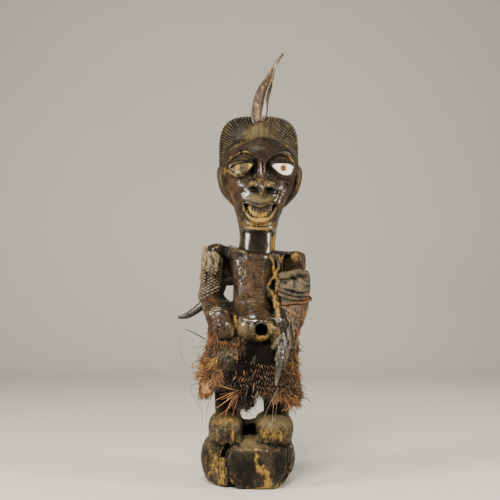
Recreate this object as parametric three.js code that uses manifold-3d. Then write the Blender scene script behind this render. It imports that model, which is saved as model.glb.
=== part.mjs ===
// A carved wooden power figure of the Songye kind, standing on its own round base.
// One block of wood makes the head, the trunk, the arms, the legs, the feet and the base.
// Dressed on it are horns, shell eyes, a cord-bound sleeve, a tied hide bundle and a fibre skirt.
// Millimetres, +Z up, the figure faces -Y, and the origin is the middle of the underside.
import * as THREE from "three";
import { mergeVertices } from "three/addons/utils/BufferGeometryUtils.js";
import Module from "manifold-3d";

// Driving dimensions.
const BODY_HEIGHT = 544; // top of the base to the top of the hair
const BASE_HEIGHT = 71;
const BASE_WIDTH = 158;
const BASE_DEPTH = 160;
const CAVITY_WIDTH = 20.4; // round hole in the belly for the medicine
const CAVITY_DEPTH = 46;
const CREST_HORN_LENGTH = 156;
const CREST_HORN_WIDTH = 32;
const CREST_HORN_THICKNESS = 15;
const CREST_SOCKET_DEPTH = 14;
const ELBOW_HORN_LENGTH = 59;
const ELBOW_HORN_THICKNESS = 16;
const HIP_HORN_LENGTH = 64;
const HIP_HORN_THICKNESS = 15;
const SHELL_WIDTH = 38;
const SHELL_THICKNESS = 4;
const PUPIL_WIDTH = 7.6;
const BINDING_WALL = 4.5; // hide and cord round the upper arm
const BUNDLE_CORD_THICKNESS = 5.2;
const SKIRT_WALL = 6;
const FIT_GAP = 0.35; // air left between two pieces that touch

// The free form keeps its proportions, written in parts of the body's height.
const BODY_PARTS = 544;
const unit = BODY_HEIGHT / BODY_PARTS;

const wasm = await Module();
wasm.setup();

// Turns a closed geometry into a solid that can be joined and cut.
function solidOf(geometry) {
  const bare = geometry.index ? geometry.clone() : mergeVertices(geometry);
  bare.deleteAttribute("normal");
  bare.deleteAttribute("uv");
  const merged = mergeVertices(bare, 1e-4);
  return new wasm.Manifold(
    new wasm.Mesh({
      numProp: 3,
      vertProperties: new Float32Array(merged.attributes.position.array),
      triVerts: new Uint32Array(merged.index.array),
    }),
  );
}

function geometryOf(solid) {
  const mesh = solid.getMesh();
  const geometry = new THREE.BufferGeometry();
  geometry.setAttribute("position", new THREE.BufferAttribute(mesh.vertProperties, 3));
  geometry.setIndex(new THREE.BufferAttribute(mesh.triVerts, 1));
  const faceted = geometry.toNonIndexed();
  faceted.computeVertexNormals();
  return faceted;
}

function join(...solids) {
  return solids.reduce((whole, next) => whole.add(next));
}

const vector = (p) => new THREE.Vector3(p[0], p[1], p[2]);

// A rounded section: round at corner 2, squarer above it.
function onSection(angle, corner) {
  const bend = (v) => Math.sign(v) * Math.abs(v) ** (2 / corner);
  return [bend(Math.cos(angle)), bend(Math.sin(angle))];
}

// A volume that follows stations [x, y, z, half width, half depth, turn].
// Upright volumes keep level sections, and others keep their sections square to their spine.
function form(stations, options = {}) {
  const { sides = 16, steps = 8, corner = 2, upright = false, grow = 0, shape = null } = options;
  const spine = new THREE.CatmullRomCurve3(stations.map((s) => vector(s).multiplyScalar(unit)));
  const girth = new THREE.CatmullRomCurve3(
    stations.map((s) => new THREE.Vector3(s[3] * unit, (s[4] ?? s[3]) * unit, s[5] ?? 0)),
  );
  const geometry = new THREE.CylinderGeometry(1, 1, 1, sides, steps);
  const position = geometry.attributes.position;
  const facing = new THREE.Vector3(0, 1, 0);
  for (let i = 0; i < position.count; i++) {
    const along = THREE.MathUtils.clamp(position.getY(i) + 0.5, 0, 1);
    const reach = Math.hypot(position.getX(i), position.getZ(i));
    const angle = Math.atan2(position.getZ(i), position.getX(i));
    const centre = spine.getPoint(along);
    const tangent = spine.getTangent(along);
    const size = girth.getPoint(along);
    const axis = upright ? new THREE.Vector3(0, 0, 1) : tangent;
    const across = upright
      ? new THREE.Vector3(1, 0, 0)
      : new THREE.Vector3().crossVectors(facing, axis).normalize();
    across.applyAxisAngle(axis, size.z);
    const deep = new THREE.Vector3().crossVectors(across, axis);
    let [a, b] = onSection(angle, corner);
    if (shape) [a, b] = shape(angle, along, a, b);
    if (along < 1e-6) centre.addScaledVector(axis, -grow);
    if (along > 1 - 1e-6) centre.addScaledVector(axis, grow);
    centre.addScaledVector(across, a * (size.x + grow) * reach);
    centre.addScaledVector(deep, b * (size.y + grow) * reach);
    position.setXYZ(i, centre.x, centre.y, centre.z);
  }
  return solidOf(geometry);
}

// A squashed ball: centre, three half sizes, and a corner power above 2 for a boxier one.
function ball(at, half, options = {}) {
  const { wide = 16, high = 10, corner = 2, grow = 0, turn = [0, 0, 0] } = options;
  const geometry = new THREE.SphereGeometry(1, wide, high);
  const position = geometry.attributes.position;
  for (let i = 0; i < position.count; i++) {
    const p = new THREE.Vector3().fromBufferAttribute(position, i);
    const power =
      (Math.abs(p.x) ** corner + Math.abs(p.y) ** corner + Math.abs(p.z) ** corner) ** (1 / corner);
    p.divideScalar(power);
    position.setXYZ(i, p.x, p.y, p.z);
  }
  geometry.rotateX(Math.PI / 2);
  geometry.scale(half[0] * unit + grow, half[1] * unit + grow, half[2] * unit + grow);
  geometry.applyMatrix4(new THREE.Matrix4().makeRotationFromEuler(new THREE.Euler(...turn)));
  geometry.translate(at[0] * unit, at[1] * unit, at[2] * unit);
  return solidOf(geometry);
}

// A block with its middle and half sizes, turned about its middle.
function block(at, half, turn = [0, 0, 0]) {
  const geometry = new THREE.BoxGeometry(half[0] * 2 * unit, half[1] * 2 * unit, half[2] * 2 * unit);
  geometry.applyMatrix4(new THREE.Matrix4().makeRotationFromEuler(new THREE.Euler(...turn)));
  geometry.translate(at[0] * unit, at[1] * unit, at[2] * unit);
  return solidOf(geometry);
}

// Head.
const HEAD_LEAN = 20; // the head stands a little to one side of the trunk
const EYES = [
  { name: "left_eye_shell", x: -10, outward: -1 },
  { name: "right_eye_shell", x: 58, outward: 1 },
];
const EYE_LEVEL = 448;
const EYE_FRONT = -53;
const FACE_MIDDLE = 23;
const HAIR = { at: [HEAD_LEAN - 1.5, 21, 477], half: [68.5, 47, 67] };

function head(grow) {
  const face = form(
    [
      [16, -48, 343, 26, 30],
      [17, -46, 352, 33, 36],
      [17, -36, 371, 36.5, 44],
      [18.5, -22, 395, 45.5, 46],
      [21, -8, 425, 57, 51],
      [21, 2, 458, 64, 60],
      [20, 6, 485, 60, 56],
      [20, 8, 508, 34, 36],
    ],
    { sides: 16, steps: 7, corner: 2.5, upright: true, grow },
  );
  const skull = ball([20, 22, 452], [58, 62, 68], { wide: 12, high: 6, grow });
  const nape = form(
    [
      [17, 4, 330, 30, 30],
      [17, 12, 362, 34, 34],
      [19, 20, 400, 46, 44],
    ],
    { sides: 12, steps: 2, upright: true, grow },
  );
  return join(face, skull, nape);
}

// The hair is carved in grooves that fan out from the face over the top and the sides.
function hair() {
  const grooves = 18;
  const geometry = new THREE.SphereGeometry(1, grooves * 2, 6);
  const position = geometry.attributes.position;
  for (let i = 0; i < position.count; i++) {
    const p = new THREE.Vector3().fromBufferAttribute(position, i);
    const reach = Math.hypot(p.x, p.z);
    const turn = Math.atan2(p.z, p.x);
    const [a, b] = onSection(turn, 3.5);
    const swell = (reach ** 2.4 + Math.abs(p.y) ** 2.4) ** (-1 / 2.4);
    const groove = 0.045 * Math.min(1, 2 * reach) * (0.5 - 0.5 * Math.cos(grooves * turn));
    const share = swell * (1 - groove);
    const across = [a * reach * share * HAIR.half[0], b * reach * share * HAIR.half[2]];
    position.setXYZ(i, across[0], p.y * share * HAIR.half[1], across[1]);
  }
  geometry.scale(unit, unit, unit);
  geometry.translate(HAIR.at[0] * unit, HAIR.at[1] * unit, HAIR.at[2] * unit);
  return solidOf(geometry);
}

// The smooth brow of the face, standing a step in front of the hair.
function forehead() {
  return ball([HEAD_LEAN + 1, -8, 463], [57, 52, 47], { wide: 14, high: 8, corner: 2.2 });
}

function ear(side) {
  const x = HEAD_LEAN + side * 66;
  return form(
    [
      [HEAD_LEAN + side * 40, 4, 389, 4, 6],
      [x - side * 11, 10, 412, 9, 12],
      [x - side * 4, 13, 436, 10.5, 17],
      [x - side * 5, 14, 456, 11, 15],
      [x - side * 14, 12, 470, 7, 7],
    ],
    { sides: 8, steps: 5, upright: true },
  );
}

function brow(side) {
  const inner = FACE_MIDDLE + side * 6;
  return form(
    [
      [inner, -66, 459, 3, 5],
      [FACE_MIDDLE + side * 16, -64, 471, 4.2, 6],
      [FACE_MIDDLE + side * 33, -59, 479, 4.4, 7],
      [FACE_MIDDLE + side * 50, -47, 476, 4, 7],
      [FACE_MIDDLE + side * 61, -30, 462, 2.4, 4],
    ],
    { sides: 5, steps: 6 },
  );
}

function nose() {
  const ridge = form(
    [
      [FACE_MIDDLE, -70, 404, 12, 14],
      [FACE_MIDDLE, -70, 416, 10.5, 13],
      [FACE_MIDDLE, -66, 438, 6, 9],
      [FACE_MIDDLE, -60, 462, 4.5, 6],
    ],
    { sides: 8, steps: 3, upright: true },
  );
  const wings = [-1, 1].map((side) =>
    ball([FACE_MIDDLE + side * 14, -66, 412], [9, 12, 9], { wide: 8, high: 5 }),
  );
  return join(ridge, ...wings);
}

// A crescent in front view, from corner to corner, sagging by drop, and cut out with some depth.
function crescent(width, dropTop, dropBottom, depth, at) {
  const shape = new THREE.Shape();
  const half = (width / 2) * unit;
  shape.moveTo(-half, 0);
  shape.quadraticCurveTo(0, -2 * dropBottom * unit, half, 0);
  shape.quadraticCurveTo(0, -2 * dropTop * unit, -half, 0);
  const geometry = new THREE.ExtrudeGeometry(shape, {
    depth: depth * unit,
    bevelEnabled: false,
    curveSegments: 6,
  });
  geometry.rotateX(Math.PI / 2);
  geometry.translate(at[0] * unit, at[1] * unit, at[2] * unit);
  return solidOf(geometry);
}

const MOUTH = { x: 19, front: -84, level: 390.5, width: 56, rise: 6, drop: 32 };

function mouthLip(drop, thickness) {
  const stations = [];
  const count = 7;
  for (let i = 0; i < count; i++) {
    const s = (2 * i) / (count - 1) - 1;
    const bow = 1 - s * s;
    const fall = drop * bow;
    stations.push([
      MOUTH.x + (s * MOUTH.width) / 2,
      -60 - 17 * bow ** 0.7 - (drop > 20 ? 4 * bow : 0),
      MOUTH.level - fall,
      thickness * (0.55 + 0.45 * bow),
      thickness * 1.3 * (0.55 + 0.45 * bow),
    ]);
  }
  return form(stations, { sides: 5, steps: 7 });
}

function teeth() {
  const count = 5;
  const rows = [];
  for (let i = 0; i < count; i++) {
    const s = (2 * (i + 0.5)) / count - 1;
    const bow = 1 - s * s;
    const height = 4 + 6 * bow;
    const at = [MOUTH.x + s * 20, -56 - 15 * bow ** 0.7, MOUTH.level - 4 - 12 * bow];
    rows.push(block(at, [3.3, 9, height], [0, 0, s * 0.5]));
  }
  return join(...rows);
}

function headCuts() {
  const sockets = EYES.map((eye) =>
    ball([eye.x, EYE_FRONT - 14, EYE_LEVEL + 3], [25, 17, 17], { wide: 10, high: 6 }),
  );
  const opening = crescent(MOUTH.width - 6, MOUTH.rise, MOUTH.drop - 8, 30, [
    MOUTH.x,
    MOUTH.front - 10,
    MOUTH.level,
  ]);
  return join(...sockets, opening);
}

// The almond outline of an eye, seen from the front.
function almond(width, up, down) {
  const shape = new THREE.Shape();
  const half = width / 2;
  shape.moveTo(-half, 0);
  shape.quadraticCurveTo(0, -2 * down, half, 0);
  shape.quadraticCurveTo(0, 2 * up, -half, 0);
  return shape;
}

// An almond plate of one eye, from its back face to its front face.
function eyePlate(eye, shape, back, front) {
  const geometry = new THREE.ExtrudeGeometry(shape, {
    depth: front - back,
    bevelEnabled: false,
    curveSegments: 6,
  });
  geometry.translate(0, 0, back);
  geometry.rotateX(Math.PI / 2);
  geometry.rotateZ(eye.outward * 0.2);
  geometry.translate(eye.x * unit, (EYE_FRONT - 4) * unit, EYE_LEVEL * unit);
  return solidOf(geometry);
}

// Lids that frame each shell, standing proud of the socket.
function eyelids(eye) {
  const lid = 3.4 * unit;
  const width = SHELL_WIDTH + 3 * lid;
  const shape = almond(width, SHELL_WIDTH * 0.16 + 1.6 * lid, SHELL_WIDTH * 0.34 + 1.6 * lid);
  return eyePlate(eye, shape, -22 * unit, SHELL_THICKNESS / 2 + 1.5 * unit);
}

// A shell plate with a drilled pupil, or its seat when it is grown.
function eyeShell(eye, grow = 0) {
  const width = SHELL_WIDTH + 2 * grow;
  const shape = almond(width, SHELL_WIDTH * 0.16 + grow, SHELL_WIDTH * 0.34 + grow);
  if (!grow) {
    const pupil = new THREE.Path();
    pupil.absarc(0, -SHELL_WIDTH * 0.07, PUPIL_WIDTH / 2, 0, 2 * Math.PI, true);
    shape.holes.push(pupil);
  }
  const front = SHELL_THICKNESS / 2 + (grow ? 12 : 0);
  return eyePlate(eye, shape, -SHELL_THICKNESS / 2 - grow, front);
}

// The keeled horn on the crown: a lens-shaped section that twists as it rises.
const CREST_HORN_FOOT = [22, -27, 494];
const CREST_HORN_PATH = [
  [0, 0, 0, 0.3, 0.62, 0.1],
  [-1, 2, 22, 0.42, 0.7, 0.15],
  [-3, 4, 47, 0.48, 0.62, 0.2],
  [2, 6, 76, 0.47, 0.5, 0.3],
  [11, 7, 100, 0.34, 0.42, 0.5],
  [19, 8, 121, 0.2, 0.32, 0.9],
  [27, 8, 137, 0.13, 0.22, 1.3],
  [34, 8, 151, 0.05, 0.08, 1.6],
];

function crestHorn(grow = 0) {
  const reach = CREST_HORN_LENGTH / 151;
  const stations = CREST_HORN_PATH.map(([x, y, z, wide, thick, turn]) => [
    CREST_HORN_FOOT[0] + (x * reach) / unit,
    CREST_HORN_FOOT[1] + (y * reach) / unit,
    CREST_HORN_FOOT[2] + (z * reach) / unit,
    (wide * CREST_HORN_WIDTH) / unit,
    (thick * CREST_HORN_THICKNESS) / unit,
    turn,
  ]);
  return form(stations, { sides: 10, steps: 14, grow, corner: 1.7 });
}

// A mound of hardened paste that holds the horn.
function hornMound() {
  return form(
    [
      [FACE_MIDDLE, -26, 478, 34, 26],
      [FACE_MIDDLE, -26, 494, 27, 22],
      [FACE_MIDDLE - 1, -25, 494 + CREST_SOCKET_DEPTH, 17, 16],
      [FACE_MIDDLE - 3, -24, 500 + CREST_SOCKET_DEPTH * 1.6, 12, 12],
    ],
    { sides: 12, steps: 3, upright: true },
  );
}

// Trunk, limbs and feet.
function neck(grow) {
  return form(
    [
      [14, 2, 300, 31, 31],
      [16, 1, 330, 30.5, 31],
      [18, 2, 366, 30.5, 32],
    ],
    { sides: 14, steps: 1, upright: true, grow },
  );
}

function trunk(grow) {
  const chest = form(
    [
      [4, 4, 150, 36, 40],
      [4, -2, 185, 37, 42],
      [4, -2, 225, 33, 36],
      [4, -3, 262, 32, 36],
      [4, -2, 296, 37, 38],
      [4, 1, 312, 36, 30],
    ],
    { sides: 12, steps: 5, corner: 3, upright: true, grow },
  );
  const yoke = form(
    [
      [-61, 6, 308, 14, 14],
      [-42, 4, 312, 10, 16],
      [0, 2, 305, 12, 28],
      [50, 4, 306, 9, 20],
      [83, 5, 306, 11, 15],
    ],
    { sides: 8, steps: 6, corner: 2.6, grow },
  );
  const knob = ball([-53, 0, 316], [13, 14, 11], { wide: 10, high: 6, grow });
  return join(chest, yoke, knob);
}

function belly(grow) {
  return ball([10, -24, 190], [37, 45, 41], { wide: 12, high: 7, grow });
}

function hips(grow) {
  return form(
    [
      [7, 8, 82, 44, 34],
      [7, 10, 105, 52, 42],
      [7, 12, 135, 50, 46],
      [5, 8, 165, 38, 42],
    ],
    { sides: 14, steps: 3, corner: 2.4, upright: true, grow },
  );
}

const LEGS = [
  { x: -34, foot: -36, wide: 29 },
  { x: 48, foot: 43, wide: 30.5 },
];

function leg(side, grow) {
  const x = LEGS[side].x;
  return form(
    [
      [x, 16, -2, 20, 26],
      [x, 14, 30, 23, 27],
      [x, 6, 62, 24, 29],
      [x * 0.92, 8, 104, 25, 32],
    ],
    { sides: 9, steps: 2, corner: 2.3, upright: true, grow },
  );
}

const LEFT_ARM = [
  [-60, 6, 311, 13.5, 14],
  [-61, 8, 285, 13, 13.5],
  [-63, 9, 258, 13, 14],
  [-65, 4, 232, 15, 16],
];
const LEFT_FOREARM = [
  [-65, 6, 236, 13, 13],
  [-60, -14, 223, 18, 17],
  [-50, -38, 203, 23, 19],
  [-45, -54, 184, 23, 16],
  [-42, -60, 166, 15, 10],
];
const RIGHT_ARM = [
  [83, 6, 312, 14, 17],
  [83, 6, 280, 13.5, 15],
  [80, 4, 246, 13, 14],
  [78, -6, 222, 14, 14],
];
const RIGHT_FOREARM = [
  [79, -2, 226, 13, 13],
  [68, -24, 208, 15, 15],
  [54, -44, 190, 15, 13],
  [45, -55, 172, 10, 8],
];

function arms(grow) {
  const options = { sides: 8, steps: 4, grow };
  return join(
    ball([-42, -8, 213], [17, 22, 19], { wide: 8, high: 6, grow }),
    form(LEFT_ARM, options),
    form(LEFT_FOREARM, options),
    form(RIGHT_ARM, options),
    form(RIGHT_FOREARM, options),
  );
}

// The web of wood left between the trunk and one arm, with the pits worn into it.
function webPlate(grow) {
  const g = grow / unit;
  return block([50, 2, 279], [20 + g, 9 + g, 31 + g]);
}

// The wood left standing behind the hollow between the trunk and the other arm.
function backWeb(grow) {
  const g = grow / unit;
  return block([-43, 19, 290], [20 + g, 7 + g, 24 + g]);
}

// The same behind the lower part of the other arm.
function lowerWeb(grow) {
  const g = grow / unit;
  return block([42, 32, 234], [22 + g, 5 + g, 30 + g]);
}

function web() {
  const upper = block([47.5, -10, 283], [3.4, 14, 11], [0, 0.12, 0]);
  const lower = block([47, -10, 256], [6, 14, 9], [0, 0.5, 0]);
  const pit = ball([63, -12, 284], [10, 13, 22], { wide: 10, high: 8 });
  return webPlate(0).subtract(join(upper, lower, pit));
}

function foot(side) {
  const { foot: x, wide } = LEGS[side];
  const sole = ball([x, -30, 17], [wide, 45, 25], { wide: 10, high: 6, corner: 2.8 });
  const cuts = [];
  const toes = 5;
  for (let i = 1; i < toes; i++) {
    const s = (2 * i) / toes - 1;
    cuts.push(block([x + s * wide * 0.9, -76, 10], [1.4, 12, 17], [0, 0, s * 0.4]));
  }
  const below = block([x, -30, -20], [60, 60, 20 - FIT_GAP / 2]);
  return sole.subtract(join(...cuts, below));
}

function fingers() {
  const cuts = [];
  for (let i = 0; i < 3; i++) {
    cuts.push(block([-48 + i * 8, -71, 178], [1, 5, 14], [0.2, 0, 0]));
  }
  return join(...cuts);
}

// Round base in its own sizes, with the bulge at the front, the split and the eroded hollows.
function base() {
  const a = BASE_WIDTH / 2;
  const b = BASE_DEPTH / 2;
  const h = BASE_HEIGHT;
  const rings = [
    [-h, 0.8],
    [-h * 0.9, 0.9],
    [-h * 0.5, 1],
    [-h * 0.18, 0.965],
    [0, 0.87],
  ];
  const drum = form(
    rings.map(([z, share]) => [0, 0, z / unit, (a * share) / unit, (b * share) / unit]),
    { sides: 20, steps: 4, corner: 2.3, upright: true },
  );
  const bulges = [
    [-h, 0.21, 0.42],
    [-h * 0.8, 0.19, 0.52],
    [-h * 0.25, 0.16, 0.6],
    [0, 0.16, 0.5],
  ];
  const lobe = form(
    bulges.map(([z, across, share]) => [
      (across * a) / unit,
      (-0.5 * b) / unit,
      z / unit,
      (a * share) / unit,
      (b * share * 0.88) / unit,
    ]),
    { sides: 14, steps: 4, corner: 2.5, upright: true },
  );
  const flat = block([0, 0, (-h - 20) / unit], [200, 200, 20 / unit]);
  const level = block([0, 0, 20 / unit], [200, 200, 20 / unit]);
  const split = block(
    [(-0.39 * a) / unit, (-0.86 * b) / unit, (-0.14 * h) / unit],
    [3.6, 22, 13],
    [0, 0.42, 0],
  );
  const hollow = ball(
    [(-0.4 * a) / unit, (-0.78 * b) / unit, (-0.86 * h) / unit],
    [11, 26, 17],
    { wide: 8, high: 6 },
  );
  const wornLeft = block(
    [(-0.98 * a) / unit, (-0.5 * b) / unit, (-1.06 * h) / unit],
    [34, 46, 12],
    [0, 0.3, 0],
  );
  const wornRight = ball(
    [(0.94 * a) / unit, (-0.34 * b) / unit, (-1.05 * h) / unit],
    [24, 44, 22],
    { wide: 8, high: 6 },
  );
  const between = ball([5, 4, 0], [13, 30, 18], { wide: 8, high: 6 });
  const worn = drum.subtract(join(wornLeft, wornRight));
  return join(worn, lobe).subtract(join(flat, level, split, hollow, between));
}

// Everything that the dressings must clear, grown by the air left round it.
function bodyMass(grow) {
  return join(trunk(grow), belly(grow), hips(grow), leg(0, grow), leg(1, grow), arms(grow));
}

function dressedMass(grow) {
  return join(bodyMass(grow), webPlate(grow), backWeb(grow), lowerWeb(grow), bellyRim(grow));
}

function bellyHole() {
  const radius = CAVITY_WIDTH / 2;
  const front = (-72 - 10) * unit;
  const geometry = new THREE.CylinderGeometry(radius, radius, CAVITY_DEPTH + 10 * unit, 14);
  geometry.translate(22 * unit, front + (CAVITY_DEPTH + 10 * unit) / 2, 184 * unit);
  return solidOf(geometry);
}

function bellyRim(grow) {
  const radius = CAVITY_WIDTH / 2 + 3.5;
  const geometry = new THREE.TorusGeometry(radius, 4.5 + grow, 5, 12);
  geometry.rotateX(Math.PI / 2);
  geometry.translate(22 * unit, -63 * unit, 184 * unit);
  return solidOf(geometry);
}

function nipple() {
  return ball([-11, -41, 273], [5.5, 5, 8.5], { wide: 6, high: 4 });
}

function carvedFigure() {
  const features = join(hornMound(), nose(), brow(-1), brow(1), ear(-1), ear(1));
  const headMass = head(0).subtract(headCuts());
  const mouth = join(mouthLip(MOUTH.drop, 4.4), mouthLip(MOUTH.rise, 2.6), teeth());
  const eyes = join(...EYES.map(eyelids));
  const webs = join(web(), backWeb(0), lowerWeb(0));
  const feet = join(foot(0), foot(1), base());
  const body = join(bodyMass(0), neck(0), webs, nipple(), bellyRim(0), feet);
  const whole = join(hair(), headMass, forehead().subtract(headCuts()), features, mouth, eyes, body);
  const seats = join(...EYES.map((eye) => eyeShell(eye, FIT_GAP)));
  return whole.subtract(join(crestHorn(FIT_GAP), seats, bellyHole(), fingers()));
}

// Dressings.
const ELBOW_HORN_PATH = [
  [0, 0, 0, 0.5],
  [-17, -1, -14, 0.42],
  [-33, -3, -24, 0.32],
  [-48, -6, -27, 0.15],
];

function elbowHorn(grow = 0) {
  const reach = ELBOW_HORN_LENGTH / 58;
  return form(
    ELBOW_HORN_PATH.map(([x, y, z, r]) => [
      -69 + (x * reach) / unit,
      -4 + (y * reach) / unit,
      229 + (z * reach) / unit,
      (r * ELBOW_HORN_THICKNESS) / unit,
    ]),
    { sides: 10, steps: 8, grow },
  );
}

// Hide laid along the upper arm and bound with many turns of cord.
function armBinding() {
  const wall = BINDING_WALL / unit;
  const turns = 6;
  const length = LEFT_ARM.length;
  const sleeve = form(
    LEFT_ARM.map((s, i) => [
      s[0] - 1,
      s[1] - 1,
      i === length - 1 ? s[2] + 6 : s[2] - 4,
      s[3] + wall,
      s[4] + wall,
    ]),
    { sides: 9, steps: 14, shape: boundSection(turns) },
  );
  const roll = form(
    [
      [-73, -8, 316, 4.6],
      [-74, -8, 290, 5],
      [-74, -6, 262, 5],
    ],
    { sides: 8, steps: 2 },
  );
  return join(sleeve, roll);
}

// Section that swells with each turn of cord on the lower half of the sleeve.
function boundSection(turns) {
  return (angle, along, a, b) => {
    const bound = along > 0.35 && along < 0.95;
    const ridge = bound ? 1 + 0.07 * Math.cos(along * turns * 2 * Math.PI) : 1;
    const rough = 1 + 0.04 * Math.sin(3 * angle + 11 * along);
    return [a * ridge * rough, b * ridge * rough];
  };
}

// Hide gathered round one forearm, wide above its cord and falling in folds below it.
const BUNDLE = [
  [68, -34, 150, 11, 12],
  [70, -32, 170, 13.5, 20],
  [73.5, -24, 196, 18.5, 28],
  [76, -16, 219, 24.5, 32],
  [76, -12, 231, 26, 32],
  [76.5, -10, 250, 28.5, 34],
  [77, -7, 267, 28, 30],
  [79, -4, 279, 24, 25],
];
const BUNDLE_CORD_LEVEL = 229;

function hideBundle() {
  const folds = (angle, along, a, b) => {
    const ripple = 1 + 0.055 * Math.sin(6 * angle + 4 * along) - 0.05 * pinch(along);
    return [a * ripple, b * ripple];
  };
  return form(BUNDLE, { sides: 16, steps: 7, upright: true, corner: 2.3, shape: folds });
}

function pinch(along) {
  return Math.exp(-(((along - 0.58) / 0.06) ** 2));
}

// The room that the hide bundle and its folds take up, for what lies against it.
function roomForBundle(grow) {
  const folds = 2; // the folds stand out this far from the plain form
  return form(BUNDLE, { sides: 12, steps: 6, upright: true, corner: 2.3, grow: grow + folds });
}

function bundleCord(grow = 0) {
  const radius = BUNDLE_CORD_THICKNESS / 2;
  const loop = [];
  const points = 16;
  for (let i = 0; i < points; i++) {
    const angle = (2 * Math.PI * i) / points;
    const [a, b] = onSection(angle, 2.3);
    loop.push(
      new THREE.Vector3(
        (76.5 + a * 27) * unit + a * radius,
        (-12 + b * 32.5) * unit + b * radius,
        (BUNDLE_CORD_LEVEL + 4 * a + 3 * b) * unit,
      ),
    );
  }
  const path = new THREE.CatmullRomCurve3(loop, true);
  const section = new THREE.Shape();
  section.absarc(0, 0, radius + grow, 0, 2 * Math.PI, false);
  const geometry = new THREE.ExtrudeGeometry(section, {
    steps: 24,
    curveSegments: 3,
    extrudePath: path,
  });
  return solidOf(geometry);
}

const HIP_HORN_PATH = [
  [0, 0, 0, 0.4],
  [-2, -3, -18, 0.5],
  [-6, -5, -40, 0.42],
  [-9, -4, -62, 0.14],
];

function hipHorn(grow = 0) {
  const reach = HIP_HORN_LENGTH / 63;
  return form(
    HIP_HORN_PATH.map(([x, y, z, r]) => [
      54 + (x * reach) / unit,
      -72 + (y * reach) / unit,
      158 + (z * reach) / unit,
      (r * HIP_HORN_THICKNESS) / unit,
    ]),
    { sides: 10, steps: 8, grow },
  );
}

// Knotted fibre skirt: an open shell from the hips to the shins.
const SKIRT = [
  [8, -2, 62, 86, 66],
  [6, -2, 80, 87, 67],
  [4, -3, 104, 86, 66],
  [6, -4, 132, 80, 64],
  [9, -5, 156, 76, 62],
  [9, -6, 172, 64, 55],
];

function skirt() {
  const wall = SKIRT_WALL / unit;
  const ragged = (angle, along, a, b) => {
    const ripple = 1 + 0.02 * Math.sin(5 * angle) + 0.015 * Math.sin(8 * angle + 6 * along);
    return [a * ripple, b * ripple];
  };
  const outer = form(SKIRT, { sides: 20, steps: 4, upright: true, corner: 2.3, shape: ragged });
  const inner = form(
    SKIRT.map(([x, y, z, a, b], i) => [
      x,
      y,
      i === 0 ? z - 1 : z + (i === SKIRT.length - 1 ? 1 : 0),
      a - wall,
      b - wall,
    ]),
    { sides: 20, steps: 4, upright: true, corner: 2.3, shape: ragged },
  );
  const gather = form(
    [
      [8, 4, 148, 70, 58],
      [8, 2, 172, 62, 52],
      [8, 2, 188, 56, 48],
    ],
    { sides: 14, steps: 1, upright: true },
  );
  return join(outer.subtract(inner), gather);
}

// The worn hem: it rises over one shin and hangs lowest at the other side.
function hemCut() {
  const notches = [
    block([-38, -70, 64], [25, 40, 27]),
    block([14, -80, 60], [28, 40, 14]),
    block([-76, -20, 58], [16, 60, 18]),
    block([-20, 70, 60], [60, 40, 16]),
  ];
  return join(...notches);
}

const materials = {
  wood: new THREE.MeshStandardMaterial({ color: 0x33241b, roughness: 0.38, metalness: 0 }),
  horn: new THREE.MeshStandardMaterial({ color: 0x4a3323, roughness: 0.3, metalness: 0 }),
  darkHorn: new THREE.MeshStandardMaterial({ color: 0x26221c, roughness: 0.35, metalness: 0 }),
  shell: new THREE.MeshStandardMaterial({ color: 0xe8dfc8, roughness: 0.3, metalness: 0 }),
  wornShell: new THREE.MeshStandardMaterial({ color: 0xa08a55, roughness: 0.5, metalness: 0 }),
  hide: new THREE.MeshStandardMaterial({ color: 0x54463a, roughness: 0.7, metalness: 0 }),
  binding: new THREE.MeshStandardMaterial({ color: 0x6b5a40, roughness: 0.8, metalness: 0 }),
  cord: new THREE.MeshStandardMaterial({ color: 0x8a4d22, roughness: 0.8, metalness: 0 }),
  fibre: new THREE.MeshStandardMaterial({ color: 0x5a3a24, roughness: 0.9, metalness: 0 }),
};

function piece(name, solid, material) {
  const mesh = new THREE.Mesh(geometryOf(solid), material);
  mesh.name = name;
  return mesh;
}

// The largest body of a solid, without crumbs left by a cut.
function mainBody(solid) {
  return solid.decompose().sort((one, other) => other.volume() - one.volume())[0];
}

const clearBody = dressedMass(FIT_GAP);
const elbow = elbowHorn();
const bundle = hideBundle();
const cordRing = bundleCord();
const hip = hipHorn();

const bindingSolid = mainBody(armBinding().subtract(join(clearBody, elbowHorn(FIT_GAP))));
const bundleSolid = mainBody(bundle.subtract(join(clearBody, bundleCord(FIT_GAP))));
const skirtSolid = mainBody(
  skirt().subtract(join(clearBody, hemCut(), roomForBundle(FIT_GAP), hipHorn(FIT_GAP))),
);

// The whole stands on its underside: the body frame starts on top of the base.
const figure = new THREE.Group();
const bodyFrame = new THREE.Group();
bodyFrame.position.z = BASE_HEIGHT;
figure.add(bodyFrame);
bodyFrame.add(
  piece("carved_figure", mainBody(carvedFigure()), materials.wood),
  piece("crest_horn", crestHorn(), materials.horn),
  piece("left_eye_shell", eyeShell(EYES[0]), materials.wornShell),
  piece("right_eye_shell", eyeShell(EYES[1]), materials.shell),
  piece("arm_binding", bindingSolid, materials.binding),
  piece("elbow_horn", mainBody(elbow.subtract(clearBody)), materials.darkHorn),
  piece("hide_bundle", bundleSolid, materials.hide),
  piece("bundle_cord", cordRing, materials.cord),
  piece("hip_horn", mainBody(hip.subtract(roomForBundle(0))), materials.darkHorn),
  piece("fibre_skirt", skirtSolid, materials.fibre),
);

export default figure;
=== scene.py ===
"""Looks of a carved wooden power figure dressed with horns, shell, hide and raffia.

The figure's wood, its hide and its bindings are shaped as clay: distances on an even grid,
joined and cut, then skinned. Fibres and cords are paths that Geometry Nodes make round.
Sizes inside the modelling functions are millimetres above the top of the base.
"""

import math
from collections import namedtuple

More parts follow.
